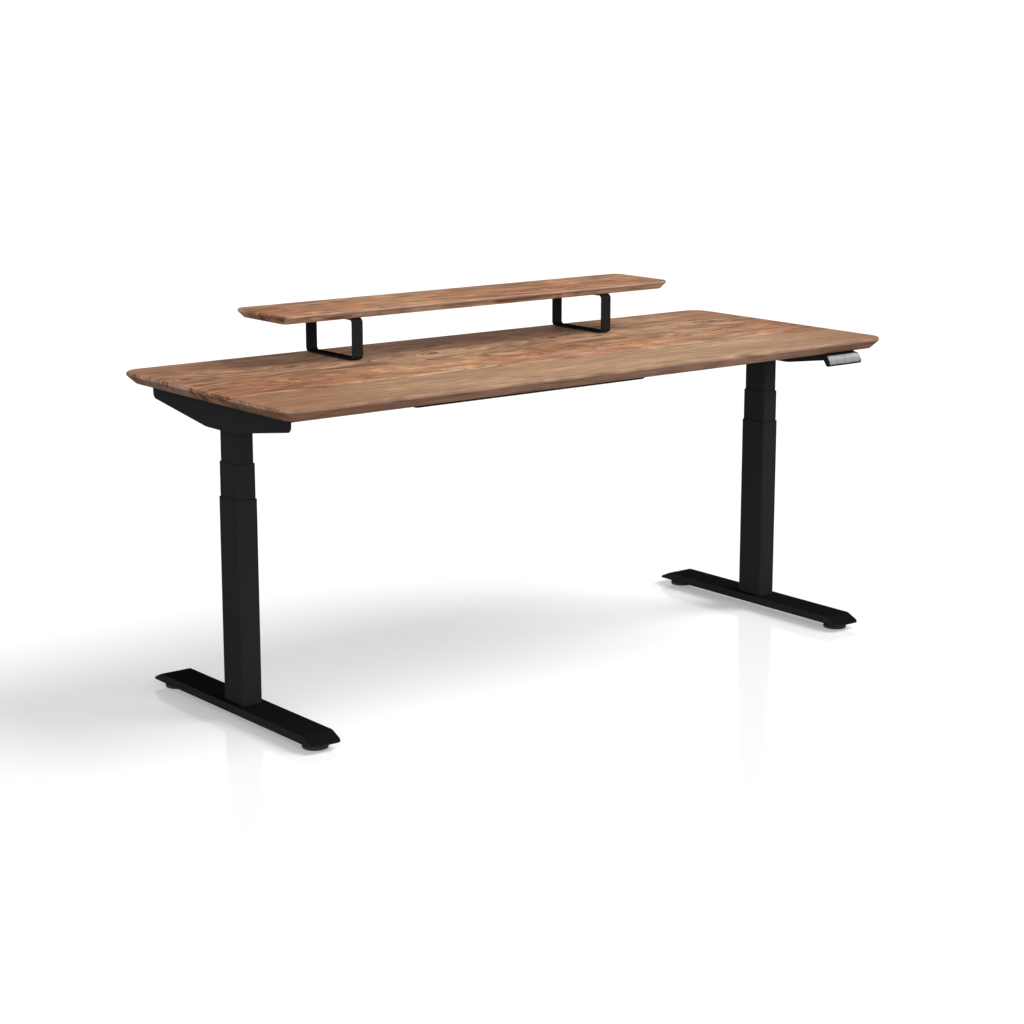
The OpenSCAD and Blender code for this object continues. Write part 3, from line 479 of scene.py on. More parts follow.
def wood_group(wood):
    """Oiled solid wood in four planks along X, with sawn end grain on the ends, and painted
    lighting on its edges, undersides and ends.
    """
    inputs = {"Place": "Vector", "Shift": "Vector", "Facing": "Vector", "Swell": "Float",
              "Heart": "Float", "Half": "Float"}
    inputs.update({seam: "Float" for seam in SEAMS}, **{tint: "Color" for tint in PAINTED_LIGHT_TINTS})
    group, t, given, out = new_group(
        "Solid wood", inputs, {"Colour": "Color", "Roughness": "Float", "Relief": "Float"})
    along, across, up = t.split(given["Place"])
    ring_tilt = -0.7
    tilted = t.times(up, ring_tilt, plus=across)
    place = t.join(along, tilted, up)

    # Planks, front to back, as masks that meet in hairline joints
    joint = 0.0006
    past = [t.ease(t.minus(across, given[seam]), -joint, joint) for seam in SEAMS]
    planks = [t.minus(before, after) for before, after in zip([1.0] + past, past)]
    planks.append(past[-1])

    def by_plank(*values):
        """A number that differs from plank to plank."""
        total = t.times(planks[0], values[0])
        for mask, value in zip(planks[1:], values[1:]):
            total = t.times(mask, value, plus=total)
        return total

    def over(tone, rgb, mask, *amounts):
        """The tone with a colour laid over it where a mask is, by plank."""
        return t.mix(t.times(mask, by_plank(*amounts)), tone, opaque(rgb))

    # Yearly rings are contour lines of smooth hills: loops where the hills are steep
    apart = by_plank(0.0, 3.1, 7.4, 11.9)
    own = t.vector("ADD", t.vector("ADD", place, t.join(z=apart)), given["Shift"])
    hills = t.noise(own, (0.95, 4.6, 3.0), detail=1.5, bend=0.15)
    ripple = t.minus(t.noise(own, (4.6, 24.0, 20.0)), 0.5)
    count = t.times(tilted, by_plank(*[wood.rings * part for part in (1.0, 0.3, 0.1, 0.4)]))
    for height, rings in ((hills, by_plank(4.0, 9.0, 15.0, 10.0)), (ripple, 1.7),
                          (given["Swell"], 2.4)):
        count = t.times(height, rings, plus=count)
    phase = t.math("FRACT", count)
    late = t.times(t.ease(phase, 0.60, 0.90), t.ease(phase, 0.94, 0.99, 1.0, 0.0))
    uneven = t.ease(t.noise(own, (6.0, 26.0, 26.0), detail=3.0), 0.34, 0.62)
    late = t.times(late, uneven)

    # Streaks run with the rings; fibres, pores and slow drifts of tone run with the plank
    flow = t.join(along, count, apart)
    streak = t.noise(flow, (4.5, 2.1, 1.0))
    dash = t.noise(flow, (14.0, 4.3, 1.0))
    fibre = t.noise(own, (9.0, 430.0, 430.0), detail=3.0, roughness=0.62)
    pore = t.ease(t.noise(own, (60.0, 1500.0, 1500.0), detail=1.0), 0.64, 0.74)
    drift = t.noise(own, (2.1, 12.0, 12.0), detail=2.5)

    # Red and honey patches take turns along the board
    turns = t.math("COSINE", t.times(along, wood.patch_turns, plus=5.0))
    blush = t.noise(own, (3.4, 17.0, 17.0), detail=3.0, bend=0.6)
    blush = t.ease(t.times(turns, 0.07, plus=blush), 0.46, 0.64)
    honey = t.noise(own, (5.0, 24.0, 30.0), bend=0.5)
    honey = t.ease(t.times(turns, -0.09, plus=honey), 0.48, 0.64)
    fleck = t.ease(t.noise(own, (20.0, 48.0, 48.0), detail=1.0, bend=0.8), 0.64, 0.72)

    # The pale line of sapwood wanders a little off the front seam
    wander, core, edge = 0.022, 0.003, 0.012
    wave = t.noise(t.vector("ADD", place, given["Shift"]), (1.8, 0.0, 0.0))
    pale = t.minus(tilted, given["Front seam"])
    pale = t.minus(pale, t.ease(wave, 0.3, 0.7, 0.0, wander))
    pale = t.ease(t.math("ABSOLUTE", pale), core, edge, 1.0, 0.0)

    tone = opaque(wood.front_plank)
    for mask, rgb in zip(past, (wood.middle_plank, wood.back_plank, wood.rear_plank)):
        tone = t.mix(mask, tone, opaque(rgb))
    tone = over(tone, wood.red_grain, blush, 0.06, 0.50, 0.14, 0.26)
    tone = over(tone, wood.honey, honey, 0.10, 0.40, 0.44, 0.32)
    tone = t.mix(t.times(pale, 0.80), tone, opaque(wood.sapwood))
    tone = over(tone, wood.late_grain, late, 0.50, 0.80, 1.00, 0.80)
    tone = over(tone, wood.red_grain, fleck, 0.10, 0.70, 0.40, 0.30)
    bright = t.times(t.ease(drift, 0.25, 0.78, 0.86, 1.20), t.ease(fibre, 0.25, 0.75, 0.92, 1.08))
    for swing, amounts in ((t.ease(streak, 0.28, 0.72, -1.0), (0.10, 0.20, 0.26, 0.20)),
                           (t.ease(dash, 0.30, 0.70, -1.0), (0.18, 0.25, 0.30, 0.24))):
        bright = t.times(bright, t.times(swing, by_plank(*amounts), plus=1.0))
    tone = t.dye(tone, t.fill(t.node("ShaderNodeCombineColor"), bright, bright, bright))
    tone = t.mix(t.times(pore, 0.35), tone, opaque(wood.late_grain))
    tone = over(tone, wood.heart, given["Heart"], 0.30, 0.62, 0.88, 0.80)

    # Faces that look along X are the sawn ends; the others are bands, undersides or the flat
    facing = t.split(given["Facing"])
    end = t.ease(t.math("ABSOLUTE", facing[X]), 0.35, 0.62)
    under = t.ease(facing[Z], -0.50, -0.12, 1.0, 0.0)
    level = t.ease(t.math("ABSOLUTE", facing[Z]), 0.45, 0.85, 1.0, 0.0)

    # Painted shade: the flat, and by half its bands, darken towards the board's ends, about a
    # middle that is off centre
    centre = 0.07
    far = t.minus(t.math("DIVIDE", along, given["Half"]), centre)
    far = t.ease(t.math("ABSOLUTE", far), 0.52, 1.02)
    far = t.times(far, t.minus(1.0, end))
    far = t.times(far, t.times(level, -0.5, plus=1.0))
    tone = t.mix(far, tone, t.dye(tone, given["Far painted shade"]))

    # Sawn ends: dark patches and rows of pale rays, by plank
    row_turns, row_start = 43.0, -3.8
    patches = t.ease(t.noise(place, (0.0, 34.0, 50.0), detail=3.0), 0.42, 0.58)
    rays = t.ease(t.noise(place, (0.0, 170.0, 14.0), detail=0.5), 0.46, 0.56)
    rows = t.math("COSINE", t.times(across, row_turns, plus=row_start))
    rays = t.times(rays, t.ease(rows, -0.45, 0.1))
    end_tone = over(tone, wood.end_dark, patches, 0.55, 0.95, 0.45, 0.40)
    end_tone = over(end_tone, wood.end_pale, rays, 0.14, 0.12, 0.95, 0.85)
    tone = t.mix(end, tone, end_tone)

    # Painted lighting: the bands, undersides and sawn ends are lit or shaded copies of the flat,
    # each with its own tint
    tint = t.mix(level, given["Flat painted lighting"], given["Band painted lighting"])
    tint = t.mix(under, tint, given["Under painted lighting"])
    end_painted_light = t.mix(level, WHITE, given["End band painted lighting"])
    end_painted_light = t.mix(under, end_painted_light, given["End under painted lighting"])
    t.feed(out["Colour"], t.dye(tone, t.mix(end, tint, end_painted_light)))
    t.feed(out["Roughness"], t.ease(fibre, 0.25, 0.75, 0.64, 0.54))
    relief = t.times(pore, -0.6, plus=t.times(fibre, 0.5))
    t.feed(out["Relief"], t.times(late, -0.3, plus=relief))
    return group


def new_material(name, rgb, roughness, metallic=0.0, gloss=0.5):
    """Material with one Principled shader whose constants are set on its own sockets."""
    material = bpy.data.materials.new(name)
    material.use_nodes = True
    t = Tree(material.node_tree)
    shader = material.node_tree.nodes["Principled BSDF"]
    t.give(shader, {"Base Color": opaque(rgb), "Roughness": roughness, "Metallic": metallic,
                    "Specular IOR Level": gloss})
    return material, t, shader, t.node("ShaderNodeTexCoord")


def surface(t, shader, tone, roughness, relief, depth):
    """Feeds the shader its colour, its roughness and a relief of a given depth in metres."""
    bump = t.give(t.node("ShaderNodeBump"), {"Distance": depth, "Height": relief})
    t.give(shader, {"Base Color": tone, "Roughness": roughness, "Normal": bump[0]})


def coated(name, grain, rgb, rough, cells, depth, metallic=0.0, gloss=0.5, speckle=0.12,
           painted_top_shade=1.0):
    """Painted, plated or moulded surface with a fine grain; its last factor darkens what looks up
    as painted shade.
    """
    _, t, shader, coords = new_material(name, rgb, rough, metallic, gloss)
    made = t.group(grain, {"Place": coords.outputs["Object"], "Cells": cells,
                           "Facing": coords.outputs["Normal"]})
    dark, light = (opaque(c * (1 + s) for c in rgb) for s in (-speckle, speckle))
    tone = t.mix(made["Speckle"], dark, light)
    # Painted shade: the faces that look up are darkened
    if painted_top_shade < 1.0:
        tone = t.mix(made["Upper"], tone, opaque(c * painted_top_shade for c in rgb))
    roughness = t.ease(made["Cloud"], 0.3, 0.7, rough - 0.05, rough + 0.05)
    surface(t, shader, tone, roughness, made["Relief"], depth)


def wooden(name, node, wood, knot, seams, knots, shift, painted_light_tints):
    """Wood of one board; seams and knots are measured from the board's centre."""
    _, _, middle, size = box_of(node)
    _, t, shader, coords = new_material(name, (0.4, 0.25, 0.16), 0.6, gloss=0.03)
    place = t.vector("SUBTRACT", coords.outputs["Object"], tuple(middle))
    swell, heart = 0.0, 0.0
    for x, y, radius, long, slant in knots:
        made = t.group(knot, {"Place": place, "Centre": (x, y, 0.0), "Radius": radius,
                              "Long": long, "Slant": slant})
        swell = t.math("ADD", made["Swell"], swell)
        heart = t.math("ADD", made["Heart"], heart, clamp=True)
    values = {"Place": place, "Facing": coords.outputs["Normal"], "Swell": swell,
              "Heart": heart, "Shift": shift, "Half": size[X] / 2}
    # The tints are the board's painted lighting
    values.update(zip(SEAMS, seams), **{part: opaque(rgb) for part, rgb in zip(PAINTED_LIGHT_TINTS, painted_light_tints)})
    made = t.group(wood, values)
    surface(t, shader, made["Colour"], made["Roughness"], made["Relief"], 0.00012)


def finish(name):
    """Finds a material that the finishes operator made."""
    material = bpy.data.materials.get(name)
    if material is None:
        raise RuntimeError(f"make the finishes first: {name} is missing")
    return material


# Knots and dark streaks, from the middle of each board: along, across, radius, length over
# width, and rise along the grain
DESKTOP_KNOTS = [
    (-0.893, 0.152, 0.012, 1.8, 0.0), (-0.590, 0.166, 0.012, 1.8, 0.1),
    (0.236, 0.168, 0.012, 1.8, 0.1), (0.800, 0.150, 0.012, 1.8, 0.0),
    (-0.290, 0.140, 0.006, 7.0, 0.22), (-0.182, 0.134, 0.011, 2.0, 0.3),
    (-0.105, 0.184, 0.005, 10.0, 0.24), (-0.060, 0.146, 0.006, 4.0, 0.2),
    (0.300, 0.190, 0.005, 9.0, 0.15),
    (-0.780, -0.044, 0.007, 2.6, 0.2), (-0.742, -0.054, 0.007, 2.0, 0.1),
    (-0.622, -0.054, 0.008, 2.2, 0.2), (-0.520, -0.050, 0.007, 2.6, 0.2),
    (-0.225, -0.124, 0.006, 3.5, 0.1), (0.028, -0.046, 0.008, 2.4, 0.2),
    (0.068, -0.036, 0.007, 2.2, 0.1), (0.196, -0.054, 0.007, 2.2, 0.2),
    (0.293, -0.050, 0.008, 2.2, 0.2), (0.582, 0.004, 0.006, 5.0, 0.2),
    (0.690, 0.010, 0.006, 5.0, 0.15), (0.925, -0.050, 0.011, 1.8, 0.1)]
SHELF_KNOTS = [
    (-0.555, -0.010, 0.008, 2.0, 0.2), (-0.520, -0.045, 0.007, 2.0, 0.0),
    (0.105, -0.042, 0.008, 2.0, 0.0), (0.290, -0.055, 0.007, 2.4, 0.3),
    (-0.360, -0.090, 0.007, 2.0, 0.0), (-0.150, 0.040, 0.005, 8.0, 0.2)]
DESKTOP_SEAMS = (-0.156, 0.036, 0.205)
SHELF_SEAMS = (-0.112, 0.012, 0.075)

# Painted lighting of each board, in the order of the wood's tint names: shade towards the ends,
# then tints of the flat, the bands, the undersides, and the bands and undersides of the sawn ends
DESKTOP_PAINTED_LIGHT = ((0.77, 0.66, 0.60), (1.10, 1.10, 1.09), (0.74, 0.79, 0.95),
                 (0.56, 0.50, 0.55), (0.86, 0.90, 1.00), (0.42, 0.35, 0.35))
SHELF_PAINTED_LIGHT = ((0.95, 0.92, 0.90), (0.92, 0.83, 0.745), (1.15, 1.36, 1.72),
               (0.95, 1.10, 1.30), (1.15, 1.30, 1.42), (0.80, 0.80, 0.85))


class DESK_OT_finishes(bpy.types.Operator):
    """Make the materials of the desk"""
    bl_idname = "desk.finishes"
    bl_label = "Finishes"

    def execute(self, context):
        metal = context.scene.desk_metal
        grain = fine_grain_group()
        knot = knot_group()
        wood = wood_group(context.scene.desk_wood)
        wooden("desktop_wood", "desktop", wood, knot, DESKTOP_SEAMS, DESKTOP_KNOTS,
               (0.0, 0.0, 0.0), DESKTOP_PAINTED_LIGHT)
        wooden("shelf_wood", "shelf_board", wood, knot, SHELF_SEAMS, SHELF_KNOTS,
               (4.7, 2.3, 0.0), SHELF_PAINTED_LIGHT)
        # The powder coat's faces that look up get painted shade
        coated("powder_coat", grain, metal.steel, 0.60, 900.0, 0.00006, gloss=0.0, painted_top_shade=0.40)
        coated("cast_paint", grain, metal.casting, 0.60, 420.0, 0.00015, gloss=0.05)
        coated("moulded_plastic", grain, metal.plastic, 0.50, 1300.0, 0.00004, gloss=0.05)
        coated("rubber", grain, metal.rubber, 0.70, 700.0, 0.00008, gloss=0.0)
        coated("zinc_plate", grain, metal.zinc, 0.30, 600.0, 0.00002, metallic=1.0)
        coated("nylon", grain, metal.nylon, 0.45, 500.0, 0.00003)
        coated("silver_paint", grain, metal.keys, 0.42, 700.0, 0.00004, metallic=0.35, speckle=0.30)
        coated("solder_mask", grain, metal.board, 0.30, 250.0, 0.00003, speckle=0.3)
        return {"FINISHED"}


# Pieces

def board(node, corner, band, run_in, top_round, material):
    """Board with rounded plan corners, an upright band and a bevel below it."""
    low, high, middle, size = box_of(node)
    bm = bmesh.new()
    lower = pull(bm, rounded_plate(bm, size, corner), (0, 0, -band))
    face_outwards(bm)
    bmesh.ops.inset_region(bm, faces=lower, use_boundary=True, use_even_offset=True,
                           thickness=run_in, depth=size[Z] - band)
    move(bm, (middle[X], middle[Y], high[Z]))
    for height, part, segments in ((high[Z], 1.0, 4), (high[Z] - band, 0.45, 3),
                                   (low[Z], 0.6, 3)):
        soften(bm, level_edges(bm, height), top_round * part, segments)
    piece(bm, node, "top", material)


class DESK_OT_boards(bpy.types.Operator):
    """Add the desktop and the shelf"""
    bl_idname = "desk.boards"
    bl_label = "Boards"

    def execute(self, context):
        s = context.scene.desk_sizes
        board("desktop", s.desktop_corner, s.desktop_band, s.desktop_run_in, s.desktop_round,
              "desktop_wood")
        board("shelf_board", s.shelf_corner, s.shelf_band, s.shelf_run_in, s.shelf_round,
              "shelf_wood")
        return {"FINISHED"}


class DESK_OT_loops(bpy.types.Operator):
    """Add the two loops of flat steel that carry the shelf"""
    bl_idname = "desk.loops"
    bl_label = "Shelf loops"

    def execute(self, context):
        s = context.scene.desk_sizes
        cut_edge = 0.0006
        for name in SIDE_NAMES.values():
            node = name + "_shelf_loop"
            low, _, middle, size = box_of(node)
            bm = bmesh.new()
            plate = rounded_plate(bm, (size[Z], size[Y]), s.loop_bend)
            rim = bm.edges[:]
            open_up(bm, plate)
            sweep_edges(bm, rim, (0, 0, size[X]))
            face_outwards(bm)
            wall = bm.faces[:][0]
            if wall.normal.dot(wall.calc_center_median()) < 0:
                bmesh.ops.reverse_faces(bm, faces=bm.faces)
            thicken(bm, s.loop_steel)
            turn(bm, QUARTER_TURN, "Y")
            move(bm, (low[X], middle[Y], middle[Z]))
            soften(bm, folded_edges(bm), cut_edge)
            piece(bm, node, "top")
        return {"FINISHED"}


def tube(node, body, corner, wall):
    """Upright rounded tube with open ends."""
    low, _, middle, size = box_of(node)
    bm = bmesh.new()
    pull(bm, rounded_plate(bm, size, corner), (0, 0, size[Z]))
    face_outwards(bm)
    open_up(bm, [f for f in bm.faces if abs(f.normal.z) > 0.9])
    thicken(bm, wall)
    move(bm, (middle[X], middle[Y], low[Z]))
    soften(bm, folded_edges(bm, 60), wall * 0.22)
    piece(bm, node, body)


class DESK_OT_columns(bpy.types.Operator):
    """Add the three tubes of each leg"""
    bl_idname = "desk.columns"
    bl_label = "Columns"

    def execute(self, context):
        s = context.scene.desk_sizes
        middle_corner = s.column_corner - s.tube_wall
        upper_corner = middle_corner - 0.0005
        for name in SIDE_NAMES.values():
            tube(name + "_lower_column", "base", s.column_corner, s.tube_wall)
            tube(name + "_middle_tube", name + "_middle", middle_corner, s.tube_wall)
            tube(name + "_upper_tube", "top", upper_corner, s.tube_wall)
        return {"FINISHED"}


class DESK_OT_feet(bpy.types.Operator):
    """Add the feet and their levellers"""
    bl_idname = "desk.feet"
    bl_label = "Feet"

    def execute(self, context):
        s = context.scene.desk_sizes
        for name in SIDE_NAMES.values():
            self.foot(name + "_foot", s)
            for end in ("front", "rear"):
                self.leveller(f"{end}_{name}", s)
        return {"FINISHED"}

    def foot(self, node, s):
        """Folded channel, open below, with a slope at each end."""
        low, _, middle, size = box_of(node)
        half = size[Y] / 2
        knee = half - s.foot_slope
        bm = bmesh.new()
        outline(bm, [(0, y, z) for y, z in (
            (-half, 0), (-half, s.foot_tip), (-knee, size[Z]), (knee, size[Z]),
            (half, s.foot_tip), (half, 0))])
        pull(bm, bm.faces[:], (size[X], 0, 0))
        move(bm, (low[X], middle[Y], low[Z]))
        face_outwards(bm)
        upright = [e for e in bm.edges
                   if abs((e.verts[0].co - e.verts[1].co).normalized().z) > 0.99]
        soften(bm, upright, s.foot_corner, 8)
        bm.normal_update()
        open_up(bm, [f for f in bm.faces if f.normal.z < -0.99])
        soften(bm, folded_edges(bm, 20), s.foot_fold, 4)
        thicken(bm, s.foot_wall)
        piece(bm, node, "base")

    def leveller(self, name, s):
        """Rubber disc with moulded edges, a neck and a stud."""
        node = name + "_leveller"
        low, _, middle, size = box_of(node)
        radius, disc, neck, top = size[X] / 2, s.pad_disc, s.pad_neck, size[Z]
        stud, shoulder = 0.004, 0.0155
        fillet, edge, tip = 0.001, 0.0008, 0.0006
        bm = bmesh.new()
        spun(bm, [(0, 0), (radius - 0.0025, 0), (radius - 0.0009, 0.0007), (radius, 0.0023),
                  (radius, disc - 0.0021), (radius - 0.0007, disc - 0.0007),
                  (radius - 0.0023, disc), (neck + fillet, disc), (neck, disc + fillet),
                  (neck, shoulder - edge), (neck - edge, shoulder), (stud, shoulder),
                  (stud, top - tip), (stud - tip, top), (0, top)])
        move(bm, (middle[X], middle[Y], low[Z]))
        piece(bm, node, name + "_foot_pad", "rubber")


class DESK_OT_brackets(bpy.types.Operator):
    """Add the folded side brackets under the ends of the desktop"""
    bl_idname = "desk.brackets"
    bl_label = "Side brackets"

    def execute(self, context):
        s = context.scene.desk_sizes
        tip_round, knee_round, fold, cut_edge = 0.0129, 0.007, 0.004, 0.0005
        for side, name in SIDE_NAMES.items():
            node = name + "_side_bracket"
            low, high, _, size = box_of(node)
            face = high[X] if side == RIGHT else low[X]
            half, knee, tip = size[Y] / 2, s.bracket_flat / 2, high[Z] - s.bracket_tip
            bm = bmesh.new()
            verts = outline(bm, [(face, y, z) for y, z in (
                (half, high[Z]), (half, tip), (knee, low[Z]),
                (-knee, low[Z]), (-half, tip), (-half, high[Z]))])
            round_corners(bm, [verts[1], verts[4]], tip_round)
            knees = [v for v in bm.verts if v.co.z < low[Z] + MERGE]
            round_corners(bm, knees, knee_round, 4)
            sweep_edges(bm, level_edges(bm, high[Z]), (-side * size[X], 0, 0))
            face_outwards(bm)
            web = max(bm.faces, key=lambda f: f.calc_area())
            if web.normal.x * side < 0:
                bmesh.ops.reverse_faces(bm, faces=bm.faces)
            soften(bm, folded_edges(bm), fold, 5)
            thicken(bm, s.bracket_steel)
            soften(bm, folded_edges(bm, 60), cut_edge)
            piece(bm, node, "top")
        return {"FINISHED"}


class DESK_OT_beam(bpy.types.Operator):
    """Finish the beam, the gear housings and the pads, and add the motors"""
    bl_idname = "desk.beam"
    bl_label = "Beam and drives"

    def execute(self, context):
        dress("beam_tray", "powder_coat", 0.0012)
        dress("bracket_pads", "rubber", 0.0004)
        for side, name in SIDE_NAMES.items():
            dress(name + "_beam_rail", "powder_coat", 0.0006)
            dress(name + "_gear_housing", "cast_paint", 0.0015, 3)
            self.motor(side, name + "_motor")
        return {"FINISHED"}

    def motor(self, side, node):
        """Turned motor can with a seam, a stepped cap and a boss."""
        low, high, middle, size = box_of(node)
        radius, long = size[Y] / 2, size[X]
        cap, boss, boss_radius = 0.014, 0.003, 0.006
        seam, edge, step, cap_edge, boss_edge = 0.0008, 0.0015, 0.003, 0.002, 0.0006
        body = long - boss - cap
        bm = bmesh.new()
        spun(bm, [(0, 0), (radius, 0), (radius, 0.018), (radius - seam, 0.0185),
                  (radius - seam, 0.0205), (radius, 0.021), (radius, body - edge),
                  (radius - edge, body), (radius - step, body),
                  (radius - step, body + cap - cap_edge),
                  (radius - step - cap_edge, body + cap), (boss_radius, body + cap),
                  (boss_radius, long - boss_edge), (boss_radius - boss_edge, long), (0, long)],
             MOTOR_STEPS)
        turn(bm, -side * QUARTER_TURN, "Y")
        move(bm, (high[X] if side == RIGHT else low[X], middle[Y], middle[Z]))
        piece(bm, node, "top", "moulded_plastic")


class DESK_OT_control_box(bpy.types.Operator):
    """Finish the control box under the desktop"""
    bl_idname = "desk.control_box"
    bl_label = "Control box"

    def execute(self, context):
        dress("control_box_base", "moulded_plastic", 0.0005)
        dress("control_box_cover", "moulded_plastic", 0.0008)
        return {"FINISHED"}


class DESK_OT_handset(bpy.types.Operator):
    """Finish the handset and add its four keys"""
    bl_idname = "desk.handset"
    bl_label = "Handset"

    def execute(self, context):
        dress("handset_case", "moulded_plastic", 0.0008)
        dress("handset_board", "solder_mask")
        for place, body in enumerate(KEY_BODIES, start=1):
            self.key(f"key_{place}", body, context.scene.desk_sizes)
        return {"FINISHED"}

    def key(self, node, body, s):
        """Crowned key on the leaning face; the row's right end is rounder than its left."""
        low, high, _, size = box_of(node)
        half, long = s.key_high / 2, size[X]
        left_round, right_round, edge, strips = 0.002, 0.0095, 0.0004, 6
        bm = bmesh.new()
        verts = outline(bm, [(0, 0, -half), (long, 0, -half), (long, 0, half), (0, 0, half)])
        if body == KEY_BODIES[0]:
            round_corners(bm, [verts[0], verts[3]], left_round, 4)
        if body == KEY_BODIES[-1]:
            round_corners(bm, [verts[1], verts[2]], right_round)
        for strip in range(1 - strips, strips):
            bmesh.ops.bisect_plane(bm, geom=bm.verts[:] + bm.edges[:] + bm.faces[:],
                                   plane_co=(0, 0, strip * half / strips), plane_no=(0, 0, 1))
        front = pull(bm, bm.faces[:], (0, -s.key_thick, 0))
        for vert in {v for f in front for v in f.verts}:
            vert.co.y -= s.key_crown * (1 - (vert.co.z / half) ** 2)
        face_outwards(bm)
        soften(bm, folded_edges(bm, 45), edge)
        move(bm, (0, s.key_thick, 0))
        turn(bm, -s.key_lean, "X")
        move(bm, (low[X], low[Y] + half * math.sin(s.key_lean),
                  high[Z] - half * math.cos(s.key_lean)))
        piece(bm, node, body, "silver_paint")


def screw_shape(bm, long, shank, head, head_high, at, axis):
    """Socket screw: the shank runs along the axis from a point, and the head lies behind it."""
    one = bmesh.new()
    socket = head * 0.52
    spun(one, [(0, long), (shank * 0.8, long), (shank, long - shank * 0.3), (shank, 0),
               (head, 0), (head, -head_high * 0.55), (head * 0.93, -head_high * 0.85),
               (head * 0.78, -head_high), (socket * 1.12, -head_high)], SCREW_STEPS)
    rim = [e for e in one.edges if e.is_boundary]
    made = bmesh.ops.create_circle(one, segments=6, radius=socket)
    bmesh.ops.translate(one, vec=(0, 0, -head_high), verts=made["verts"])
    hexagon = list({e for v in made["verts"] for e in v.link_edges})
    bmesh.ops.bridge_loops(one, edges=rim + hexagon)
    floor = sweep_edges(one, hexagon, (0, 0, head_high * 0.6))
    bmesh.ops.contextual_create(one, geom=floor)
    bmesh.ops.transform(one, matrix=axis.to_track_quat("Z", "Y").to_matrix().to_4x4(),
                        verts=one.verts)
    move(one, at)
    kept = mesh_from(one, "screw")
    bm.from_mesh(kept)
    bpy.data.meshes.remove(kept)


class DESK_OT_screws(bpy.types.Operator):
    """Add the socket screws"""
    bl_idname = "desk.screws"
    bl_label = "Screws"

    HEADS = {"foot_bolts": 0.004, "desktop_screws": 0.003, "shelf_screws": 0.003,
             "control_box_screws": 0.003, "handset_screws": 0.003, "frame_screws": 0.004}

    def execute(self, context):
        for node, head_high in self.HEADS.items():
            bm = bmesh.new()
            for low, high in solids_of(node):
                self.add(bm, low, high, head_high)
            body = "base" if node == "foot_bolts" else "top"
            piece(bm, node, body, "zinc_plate")
        return {"FINISHED"}

    def add(self, bm, low, high, head_high):
        """One screw in the space of its CAD solid, with its head on the side it is driven from."""
        wide, desktop_height, low_head, big_head = 0.010, 0.7, 0.0016, 0.005
        size, middle = high - low, (low + high) / 2
        run = max(AXES, key=lambda a: size.dot(a))
        head = min(size) / 2
        if run.z:
            top_driven = size.x > wide and low.z > desktop_height
            head_high = low_head if top_driven else head_high
            axis = -run if top_driven else run
        elif run.y:
            axis = -run if middle.y > 0 else run
        else:
            axis = run if middle.x > 0 else -run
        start = middle - axis * (size.dot(run) / 2 - head_high)
        shank = 0.003 if head > big_head else 0.0022
        screw_shape(bm, size.dot(run) - head_high, shank, head, head_high, start, axis)


class DESK_OT_inner_parts(bpy.types.Operator):
    """Finish the parts inside the legs and feet"""
    bl_idname = "desk.inner_parts"
    bl_label = "Inner parts"

    def execute(self, context):
        for node in ("column_base_plates", "leveller_nuts", "base_screws", "bearing_blocks",
                     "spindle_bearings"):
            dress(node, "zinc_plate")
        dress("column_top_glides", "moulded_plastic")
        dress("upper_tube_shoes", "moulded_plastic")
        dress("shelf_loop_pads", "rubber")
        for name in SIDE_NAMES.values():
            for part in ("_nut_post", "_drive_tube", "_spindle"):
                dress(name + part, "zinc_plate")
            dress(name + "_middle_glides", "moulded_plastic")
            dress(name + "_spindle_nut", "nylon")
        return {"FINISHED"}


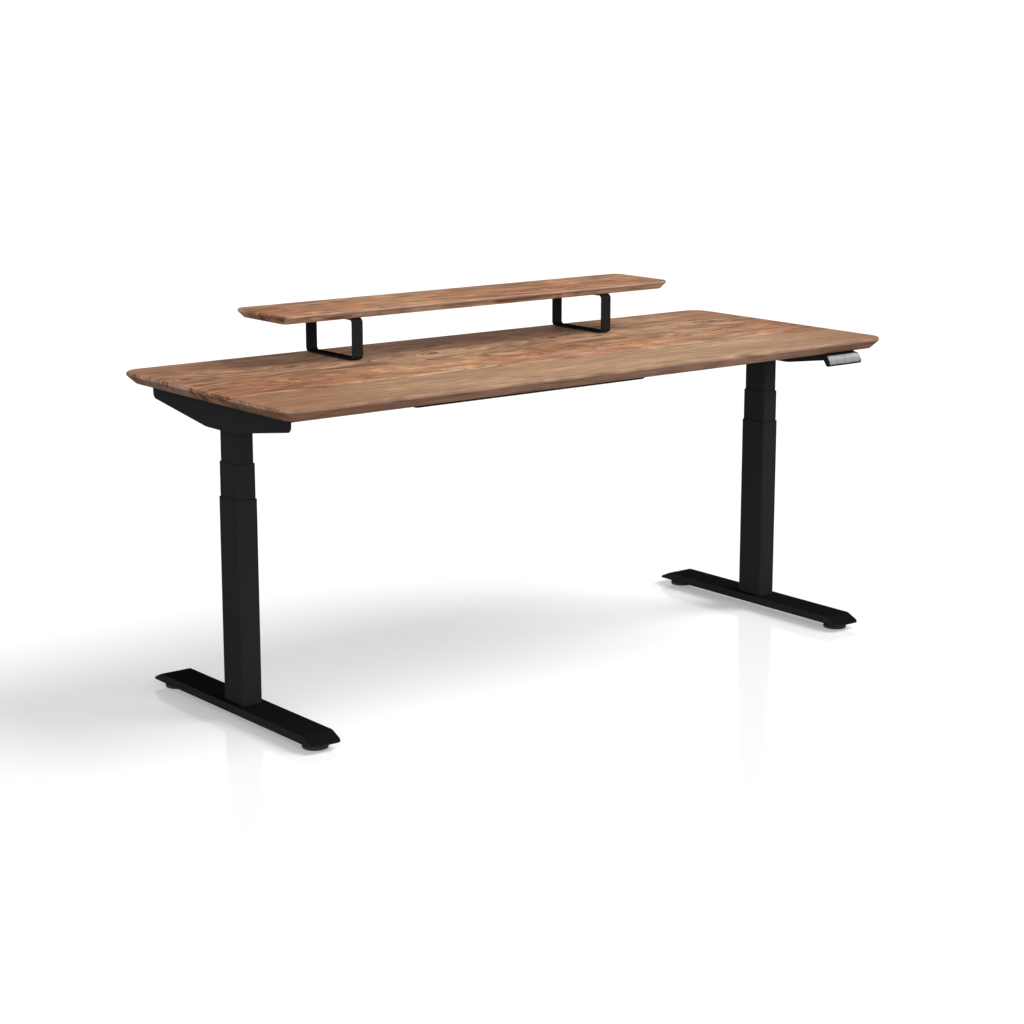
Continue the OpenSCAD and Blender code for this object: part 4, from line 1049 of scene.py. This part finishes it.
class DESK_OT_stage(bpy.types.Operator):
    """Add the floor, the lamps and the camera"""
    bl_idname = "desk.stage"
    bl_label = "Stage"

    def execute(self, context):
        stage = context.scene.desk_stage
        context.scene.view_settings.view_transform = "Standard"
        self.floor(stage)
        context.scene.world = self.sky(stage)
        self.sun("key", stage.key_from, stage.key_share * math.pi, stage.key_spread)
        self.sun("fill", stage.fill_from, stage.fill_strength, stage.fill_spread)
        context.scene.camera = self.camera(stage)
        return {"FINISHED"}

    def floor(self, stage):
        """Pale floor: its own colour, darkened away from the desk as a painted falloff of light,
        and a lift that only the camera sees.
        """
        bm = bmesh.new()
        bmesh.ops.create_grid(bm, x_segments=1, y_segments=1, size=stage.floor_size)
        made = placed("floor", mesh_from(bm, "floor"))
        material, t, shader, coords = new_material("floor", stage.floor, 0.12, gloss=0.12)
        # Painted shade: the floor darkens away from the desk
        far = t.ease(t.vector("LENGTH", coords.outputs["Object"]), 1.2, 4.5)
        t.feed(shader.inputs["Base Color"],
               t.mix(far, opaque(stage.floor), opaque(c * 0.93 for c in stage.floor)))
        lift = t.node("ShaderNodeEmission")
        seen = t.node("ShaderNodeLightPath").outputs["Is Camera Ray"]
        t.feed(lift.inputs["Strength"], t.times(seen, stage.floor_lift))
        both = t.fill(t.node("ShaderNodeAddShader"), shader.outputs[0], lift.outputs[0])
        t.feed(material.node_tree.nodes["Material Output"].inputs["Surface"], both)
        made.data.materials.append(material)

    def sky(self, stage):
        """Soft light from all round, and a white background for the camera and reflections."""
        world = bpy.data.worlds.new("studio")
        world.use_nodes = True
        t = Tree(world.node_tree)
        path = t.node("ShaderNodeLightPath").outputs
        seen = t.math("ADD", path["Is Camera Ray"], path["Is Glossy Ray"])
        seen = t.math("ADD", seen, path["Is Transmission Ray"], clamp=True)
        parts = t.split(t.node("ShaderNodeTexCoord").outputs["Object"])
        high = t.math("ABSOLUTE", parts[Z])
        light = t.times(high, stage.sky_top - stage.sky_rim, plus=stage.sky_rim)
        light = t.times(light, t.ease(parts[Y], -0.1, 0.5, 1.0, 1.0 - stage.sky_behind))
        t.give(world.node_tree.nodes["Background"],
               {"Color": t.mix(seen, opaque(stage.sky), WHITE),
                "Strength": t.times(seen, t.minus(1.0, light), plus=light)})
        return world

    def sun(self, name, towards, strength, spread):
        """Wide soft lamp from one direction; the key's strength is what reaches the floor."""
        lamp = bpy.data.lights.new(name, "SUN")
        towards = Vector(towards).normalized()
        lamp.angle = spread
        lamp.energy = strength / (towards.z if name == "key" else 1.0)
        placed(name, lamp).rotation_euler = towards.to_track_quat("Z", "Y").to_euler()

    def camera(self, stage):
        """Camera at the viewing angle of the picture."""
        data = bpy.data.cameras.new("camera")
        data.sensor_width = 36.0
        data.lens = stage.lens
        data.clip_end = 3 * stage.floor_size
        made = placed("camera", data)
        made.location = stage.camera_place
        made.rotation_euler = (QUARTER_TURN - stage.camera_dip, 0.0, stage.camera_turn)
        return made


# Panel, registration and the run

STEPS = [DESK_OT_stage, DESK_OT_finishes, DESK_OT_boards, DESK_OT_loops, DESK_OT_columns,
         DESK_OT_feet, DESK_OT_brackets, DESK_OT_beam, DESK_OT_control_box, DESK_OT_handset,
         DESK_OT_screws, DESK_OT_inner_parts]
GROUPS = {"desk_sizes": DeskSizes, "desk_wood": DeskWood, "desk_metal": DeskMetal,
          "desk_stage": DeskStage}


class DESK_PT_panel(bpy.types.Panel):
    """Lists the steps that build the desk"""
    bl_idname = "DESK_PT_panel"
    bl_label = "Desk"
    bl_space_type = "VIEW_3D"
    bl_region_type = "UI"
    bl_category = "Desk"

    def draw(self, context):
        for step in STEPS:
            self.layout.operator(step.bl_idname)
        for name in GROUPS:
            group = getattr(context.scene, name)
            for key in group.bl_rna.properties.keys():
                if key not in ("rna_type", "name"):
                    self.layout.prop(group, key)


def register():
    for name, group in GROUPS.items():
        bpy.utils.register_class(group)
        setattr(bpy.types.Scene, name, PointerProperty(type=group))
    for step in STEPS + [DESK_PT_panel]:
        bpy.utils.register_class(step)


def unregister():
    for step in [DESK_PT_panel] + STEPS[::-1]:
        bpy.utils.unregister_class(step)
    for name, group in GROUPS.items():
        delattr(bpy.types.Scene, name)
        bpy.utils.unregister_class(group)


def main():
    """Builds the desk step by step."""
    register()
    for step in STEPS:
        family, name = step.bl_idname.split(".")
        getattr(getattr(bpy.ops, family), name)()


if __name__ == "__main__":
    main()
